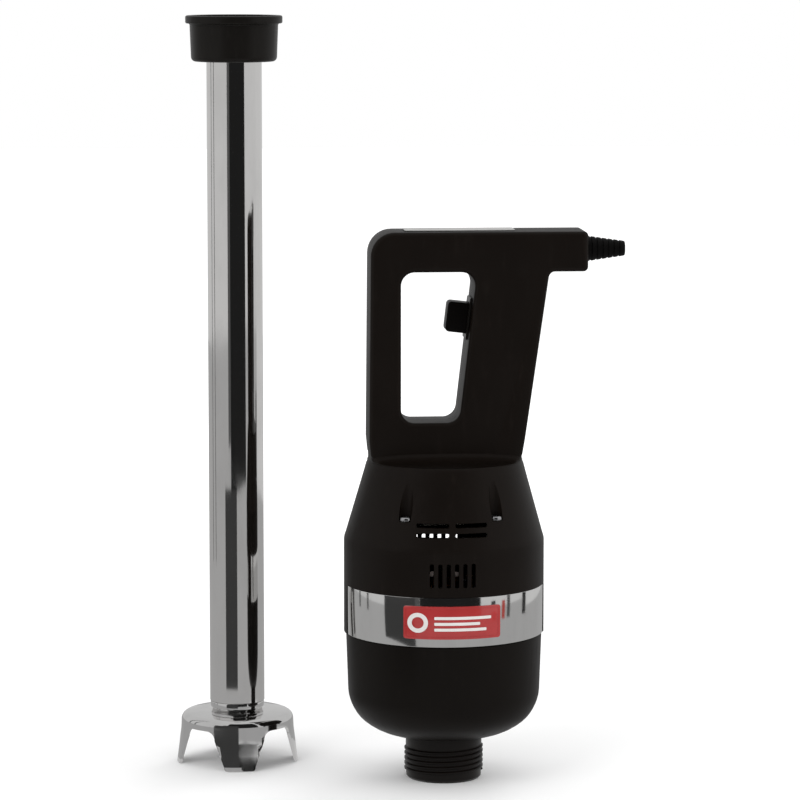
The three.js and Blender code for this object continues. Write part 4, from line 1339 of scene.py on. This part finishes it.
    def arc_strip(self, name: str, side: int, inner: float, outer: float, foot: float, top: float,
                  edge: float, lip: float) -> bpy.types.Object:
        """Makes a strip bent round the drum's front or rear.

        Args:
            name: The strip's name.
            side: -1 for the front, 1 for the rear.
            inner: Its inner radius.
            outer: Its outer radius.
            foot: Its lowest height.
            top: Its highest height.
            edge: How far its ends stop from the seam between the shells.
            lip: How far its long outer edges are rounded.

        Returns:
            The strip.
        """
        low_edge = [(outer, foot)]
        if lip:
            low_edge = [(outer - lip, foot), *arc((outer - lip, foot + lip), lip, -90, 0, 3)[1:]]
        high_edge = [*arc((outer - lip, top - lip), lip, 0, 90, 3)] if lip else [(outer, top)]
        strip = turned(name, [(inner, foot), *low_edge, *high_edge, (inner, top)], segments=192)
        low, high = (-200, -edge) if side < 0 else (edge, 200)
        return combine(strip, block("side", (-200, low, 0), (200, high, 300)), Cut.KEEP_COMMON)

    def trigger_frame(self, obj: bpy.types.Object) -> bpy.types.Object:
        """Moves a piece from the trigger's own frame to the sloping face of the right column."""
        (x, z, _), (top_x, top_z, _) = self.opening[1], self.opening[2]
        slope = (top_x - x) / (top_z - z)
        face = x + (self.trigger_height - z) * slope
        return laid(obj, (0, math.degrees(math.atan(slope)), 0), (face, 0, self.trigger_height))

    def trigger_slot(self) -> bpy.types.Object:
        """Makes the hole that the trigger slides in."""
        return self.trigger_frame(block("slot", (-4, -8.4, -9.9), (self.wall + 3, 8.4, 9.9)))

    def boot_hole(self) -> bpy.types.Object:
        """Makes the hole for the cable sleeve's spigot."""
        end = self.block_end
        return pin("boot_hole", 4.9, (end - 10, 0, self.boot_height), (end + 10, 0, self.boot_height))

    def rear_screw_places(self) -> list[Point]:
        """Lists where the four shell screws stand, seen from the front."""
        return [(-35.1, 335.0), (50.5, 335.0), (-37.4, 214.0), (33.0, 214.0)]

    def cut_shell_screw_holes(self, shell: bpy.types.Object) -> None:
        """Cuts the counterbores of the shell screws into the rear shell, each with its own post."""
        half = self.handle_depth / 2
        for x, z in self.rear_screw_places():
            combine(shell, pin("post", 5.2, (x, 1, z), (x, half - 1, z)), Cut.JOIN)
            combine(shell, pin("shank_hole", 1.7, (x, 0, z), (x, half + 9, z), 24), Cut.REMOVE)
            combine(shell, pin("head_hole", 3.7, (x, 12, z), (x, half + 9, z), 32), Cut.REMOVE)

    # -- Band, badge and plates

    def bands(self) -> None:
        """Builds the two bright bands."""
        inner = self.drum - self.band_recess + 0.3
        for name, node, side in (("front_band", "band_front", -1), ("rear_band", "band_rear", 1)):
            obj = self.arc_strip(name, side, inner, inner + 1.0, self.drum_foot + 0.2, self.band_top - 0.2,
                                 self.pillar / 2 + 0.3, 0.35)
            smooth(obj, 40)
            self.show(obj, [node], "polished_steel", BAND_STEEL)

    def badge(self) -> None:
        """Builds the red badge, bent to the band, with a raised ring and bars that carry no lettering."""
        middle = (self.drum_foot + self.band_top) / 2
        inner = self.drum - self.band_recess + 1.6
        plate = self.bent("badge_plate", self.frame(30.0, 10.2, 1.6, middle), inner, inner + 0.75)
        soften(plate, 0.2, segments=2, angle=60)
        smooth(plate, 40)
        self.show(plate, ["label_plate"], "red_label", RED)
        border = self.bent("badge_border", self.frame(29.0, 9.2, 1.0, middle), inner + 0.4, inner + 0.9)
        field_cut = self.bent("field", self.frame(28.6, 8.8, 0.8, middle), inner - 1, inner + 3)
        combine(border, field_cut, Cut.REMOVE)
        self.show(border, [], "red_label", RED)
        ring = self.bent("badge_ring", arc((-21.5, middle), 6.2, 0, 360, 48)[:-1], inner + 0.4, inner + 0.95)
        eye = self.bent("eye", arc((-21.5, middle), 3.6, 0, 360, 40)[:-1], inner - 1, inner + 3)
        combine(ring, eye, Cut.REMOVE)
        self.show(ring, [], "pale_label", PALE)
        bars = ((-11.5, 24.0, 3.0), (-11.5, 17.0, -0.6), (-11.5, 21.0, -4.2))
        for number, (low_x, high_x, z) in enumerate(bars, 1):
            outline = rounded([
                (low_x, middle + z - 0.9, 0.5), (high_x, middle + z - 0.9, 0.5),
                (high_x, middle + z + 0.9, 0.5), (low_x, middle + z + 0.9, 0.5),
            ], steps=3)
            bar = self.bent(f"badge_bar_{number}", outline, inner + 0.4, inner + 0.95)
            self.show(bar, [], "pale_label", PALE)

    def frame(self, half_x: float, half_z: float, radius: float, middle: float) -> list[Point]:
        """Gives a rounded rectangle about a height on the drum's front."""
        return rounded([
            (-half_x, middle - half_z, radius), (half_x, middle - half_z, radius),
            (half_x, middle + half_z, radius), (-half_x, middle + half_z, radius),
        ], steps=5)

    def bent(self, name: str, outline: Sequence[Point], inner: float, outer: float) -> bpy.types.Object:
        """Makes a thin plate of an outline, bent round the drum's front between two radii."""
        lows = [z for _, z in outline]
        shell = turned(name, [
            (inner, min(lows) - 2), (outer, min(lows) - 2), (outer, max(lows) + 2), (inner, max(lows) + 2),
        ], segments=256)
        return combine(shell, slab("prism", outline, -outer - 5, -10), Cut.KEEP_COMMON)

    def rating_plate(self) -> None:
        """Builds the pale, blank plate on the handle's top."""
        low, high = span_of("rating_plate")
        outline = rounded([(-25.5, -9, 2), (43.5, -9, 2), (43.5, 9, 2), (-25.5, 9, 2)], steps=5)
        plate = laid(slab("type_plate", outline, -high, -low), (-90, 0, 0), (0, 0, 0))
        soften(plate, 0.12, segments=2, angle=60)
        smooth(plate)
        self.show(plate, ["rating_plate"], "pale_label", PLATE)

    # -- Lower housing and neck

    def lower_housing(self) -> None:
        """Builds the rounded housing under the bands."""
        foot, top = 28.5, self.drum_foot - 0.3
        outside = [
            (29.7, foot), (35.2, foot + 1.2), (40.0, foot + 2.75), (44.3, foot + 4.7), (48.2, foot + 7.1),
            (51.0, foot + 9.2), (53.3, foot + 11.4), (55.2, foot + 13.8), (56.8, foot + 16.4),
            (58.1, foot + 19.0),
            (59.2, foot + 21.9), (60.0, foot + 24.9), (60.4, foot + 28.0), (61.7, top - 0.4), (61.3, top),
        ]
        obj = turned("lower_casing", [
            (24.4, 33.0), (24.4, foot + 0.6), (25.0, foot), *outside, (58.7, top), (57.4, 56.0), (54.5, 47.5),
            (50.5, 41.5), (46.0, 37.5), (40.0, 33.0),
        ], segments=160)
        lip = turned("lip", [
            (54.6, top - 4), (56.6, top - 4), (56.6, top + 3.0), (54.6, top + 3.0),
        ], segments=96)
        combine(obj, lip, Cut.JOIN)
        for x, y in self.screw_places():
            combine(obj, pin("post", 5, (x, y, 66), (x, y, top)), Cut.JOIN)
            combine(obj, pin("gap", 6.3, (x, y, top), (x, y, 110)), Cut.REMOVE)
            combine(obj, pin("pilot", 2.3, (x, y, 71.7), (x, y, 110), 24), Cut.REMOVE)
        smooth(obj, 30)
        self.show(obj, ["lower_housing"], "casing", HOUSING)

    def neck(self) -> None:
        """Builds the hollow threaded neck with its flange inside the housing."""
        root, bore, flange_foot, flange_top, seat = 23.7, 16.2, 33.3, 37.3, 29.7
        end = 3.6 + 5 * 3.2
        barrel = turned("neck_barrel", [
            (bore + 0.6, 0), (root - 1.2, 0), (root, 1.4), (root, end + 0.5),
            (24.0, end + 1.2), (24.0, flange_foot),
            (38.0, flange_foot), (38.0, flange_top), (11.15, flange_top), (11.15, seat), (9.0, seat),
            (9.0, seat - 3.4), (bore, seat - 3.4), (bore, 0.6),
        ], segments=128)
        for i in range(3):
            angle = math.radians(30 + 120 * i)
            x, y = 31.5 * math.cos(angle), 31.5 * math.sin(angle)
            combine(barrel, pin("hole", 2.1, (x, y, 30), (x, y, 50), 24), Cut.REMOVE)
        smooth(barrel, 35)
        self.show(barrel, ["threaded_neck"], "black_plastic", NECK_BLACK)
        ridge = thread("neck_thread", root, 1.2, 3.0, 3.2, 5)
        smooth(ridge, 35)
        self.show(ridge, [], "black_plastic", NECK_BLACK)

    # -- Screws

    def cross_screw(
        self, name: str, shank: float, head: float, rise: float, length: float,
    ) -> bpy.types.Object:
        """Makes a pan-headed screw with a cross recess, its seat at height 0."""
        body = turned(name, [
            (0.001, -length), (shank * 0.5, -length), (shank, -length + shank), (shank, 0),
            (head - 0.2, 0), (head, 0.25), *arc((head - rise * 0.62, rise * 0.38), rise * 0.62, 0, 80, 6),
            (0.001, rise + 0.02),
        ], segments=48, ring=False)
        arm, width, deep = head * 0.55, head * 0.13, rise * 0.45
        for reach_x, reach_y in ((arm, width), (width, arm)):
            recess = block("recess", (-reach_x, -reach_y, deep), (reach_x, reach_y, rise + 1))
            combine(body, recess, Cut.REMOVE)
        smooth(body, 30)
        return body

    def housing_screws(self) -> None:
        """Stands the four screws that hold the lower housing up against the casing."""
        pattern = self.cross_screw("housing_screw", 2.0, 3.6, 2.6, self.screw_seat - 72)
        for number, (x, y) in enumerate(self.screw_places(), 1):
            copy = again(pattern, f"long_screw_{number}", (x, y, self.screw_seat + 0.3))
            self.show(copy, [f"housing_screw_{number}"], "steel", STEEL)
        bpy.data.objects.remove(pattern)

    def shell_screws(self) -> None:
        """Sets the four screws that join the shells, from the rear."""
        pattern = laid(self.cross_screw("shell_screw", 1.4, 3.2, 2.2, 21), (-90, 0, 0), (0, 0, 0))
        for number, (x, z) in enumerate(self.rear_screw_places(), 1):
            copy = again(pattern, f"short_screw_{number}", (x, 12.3, z))
            self.show(copy, [f"shell_screw_{number}"], "steel", STEEL)
        bpy.data.objects.remove(pattern)

    def neck_screws(self) -> None:
        """Sets the three screws that hold the neck's flange."""
        pattern = self.cross_screw("neck_screw", 1.8, 3.4, 2.4, 6.9)
        for i in range(3):
            angle = math.radians(30 + 120 * i)
            place = (31.5 * math.cos(angle), 31.5 * math.sin(angle), 37.6)
            self.show(again(pattern, f"flange_screw_{i + 1}", place), [f"neck_screw_{i + 1}"], "steel", STEEL)
        bpy.data.objects.remove(pattern)

    # -- Cable sleeve, trigger and dog

    def cable_boot(self) -> None:
        """Builds the tapered, ribbed sleeve, empty where its lead would run."""
        root, tip, length, ribs = 8.2, 4.65, 24.8, 6
        profile = [(0.001, -6), (4.6, -6), (4.6, 0.3), (root, 0.3)]
        step = length / (ribs + 1)
        for i in range(ribs):
            wide = root + (tip - root) * (i + 0.8) / (ribs + 1)
            start = (i + 0.72) * step
            profile += [
                (wide, start), (wide - 0.4, start + 0.3),
                (wide - 0.55, start + 1.0), (wide - 0.1, start + 1.3),
            ]
        profile += [
            (tip, length - 0.5), (tip - 0.4, length), (3.4, length), (3.4, length - 9), (0.001, length - 9),
        ]
        obj = turned("cable_sleeve", profile, segments=72, ring=False)
        laid(obj, (0, 90, 0), (self.block_end, 0, self.boot_height))
        smooth(obj, 30)
        self.show(obj, ["cable_boot"], "boot_rubber", SLEEVE)

    def trigger(self) -> None:
        """Builds the sliding trigger and the bezel round its slot."""
        reach, half_y, half_z, foot = 14.5, 8.0, 9.5, self.wall + 0.5
        outline = rounded([
            (-reach, -half_z, 2.5), (foot, -half_z, 0), (foot, half_z, 0), (-reach, half_z, 2.5),
        ], steps=6)
        pad = slab("trigger_pad", outline, -half_y, half_y)
        soften(pad, 1.2, segments=4, angle=60)
        stop = block("stop", (foot - 0.2, -half_y - 2, -half_z - 2), (foot + 2.8, half_y + 2, half_z + 2))
        combine(pad, stop, Cut.JOIN)
        smooth(self.trigger_frame(pad), 30)
        self.show(pad, ["trigger"], "black_plastic", TRIGGER_BLACK, body="trigger")
        rim = slab("bezel", rounded([
            (-1.5, -13.1, 0.8), (-0.3, -13.1, 0), (-0.3, 13.1, 0), (-1.5, 13.1, 0.8),
        ], steps=3), -10.0, 10.0)
        combine(rim, block("mouth", (-3, -8.4, -9.9), (1, 8.4, 9.9)), Cut.REMOVE)
        smooth(self.trigger_frame(rim), 30)
        self.show(rim, ["switch_bezel"], "black_plastic", BLACK)

    def dog(self) -> None:
        """Builds the square dog inside the neck."""
        foot, top = span_of("drive_dog")
        obj = turned("dog_collar", [
            (5.15, foot + 9.8), (7.4, foot + 9.8), (8.0, foot + 10.4),
            (8.0, top - 0.6), (7.4, top), (5.15, top),
        ], segments=64)
        combine(obj, block("square", (-4, -4, foot), (4, 4, foot + 10.3)), Cut.JOIN)
        soften(obj, 0.4, segments=2, angle=60)
        smooth(obj, 30)
        self.show(obj, ["drive_dog"], "steel", STEEL, body="rotor")


# ---- Pieces that keep their frame shapes --------------------------------------------------------------


def dress_kept_nodes() -> None:
    """Dresses every frame node by its material slot."""
    for row in frame["record"]["subparts"]:
        SLOT_FINISHES[row["material_slot"]].on(bpy.data.objects[row["node"]])


def spring_under_trigger() -> None:
    """Gives the trigger's spring a mesh of its own."""
    spring, travel = bpy.data.objects["trigger_spring"], 6 * MM
    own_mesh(spring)


def main() -> None:
    """Builds the studio and both parts."""
    logging.basicConfig(level=logging.INFO, format="%(message)s")
    bpy.context.scene.view_settings.view_transform = "Standard"
    studio = Studio()
    studio.stand_camera()
    studio.lay_floor()
    studio.light()
    dress_kept_nodes()
    MixingRod().build()
    MotorUnit().build()
    spring_under_trigger()


if __name__ == "__main__":
    main()
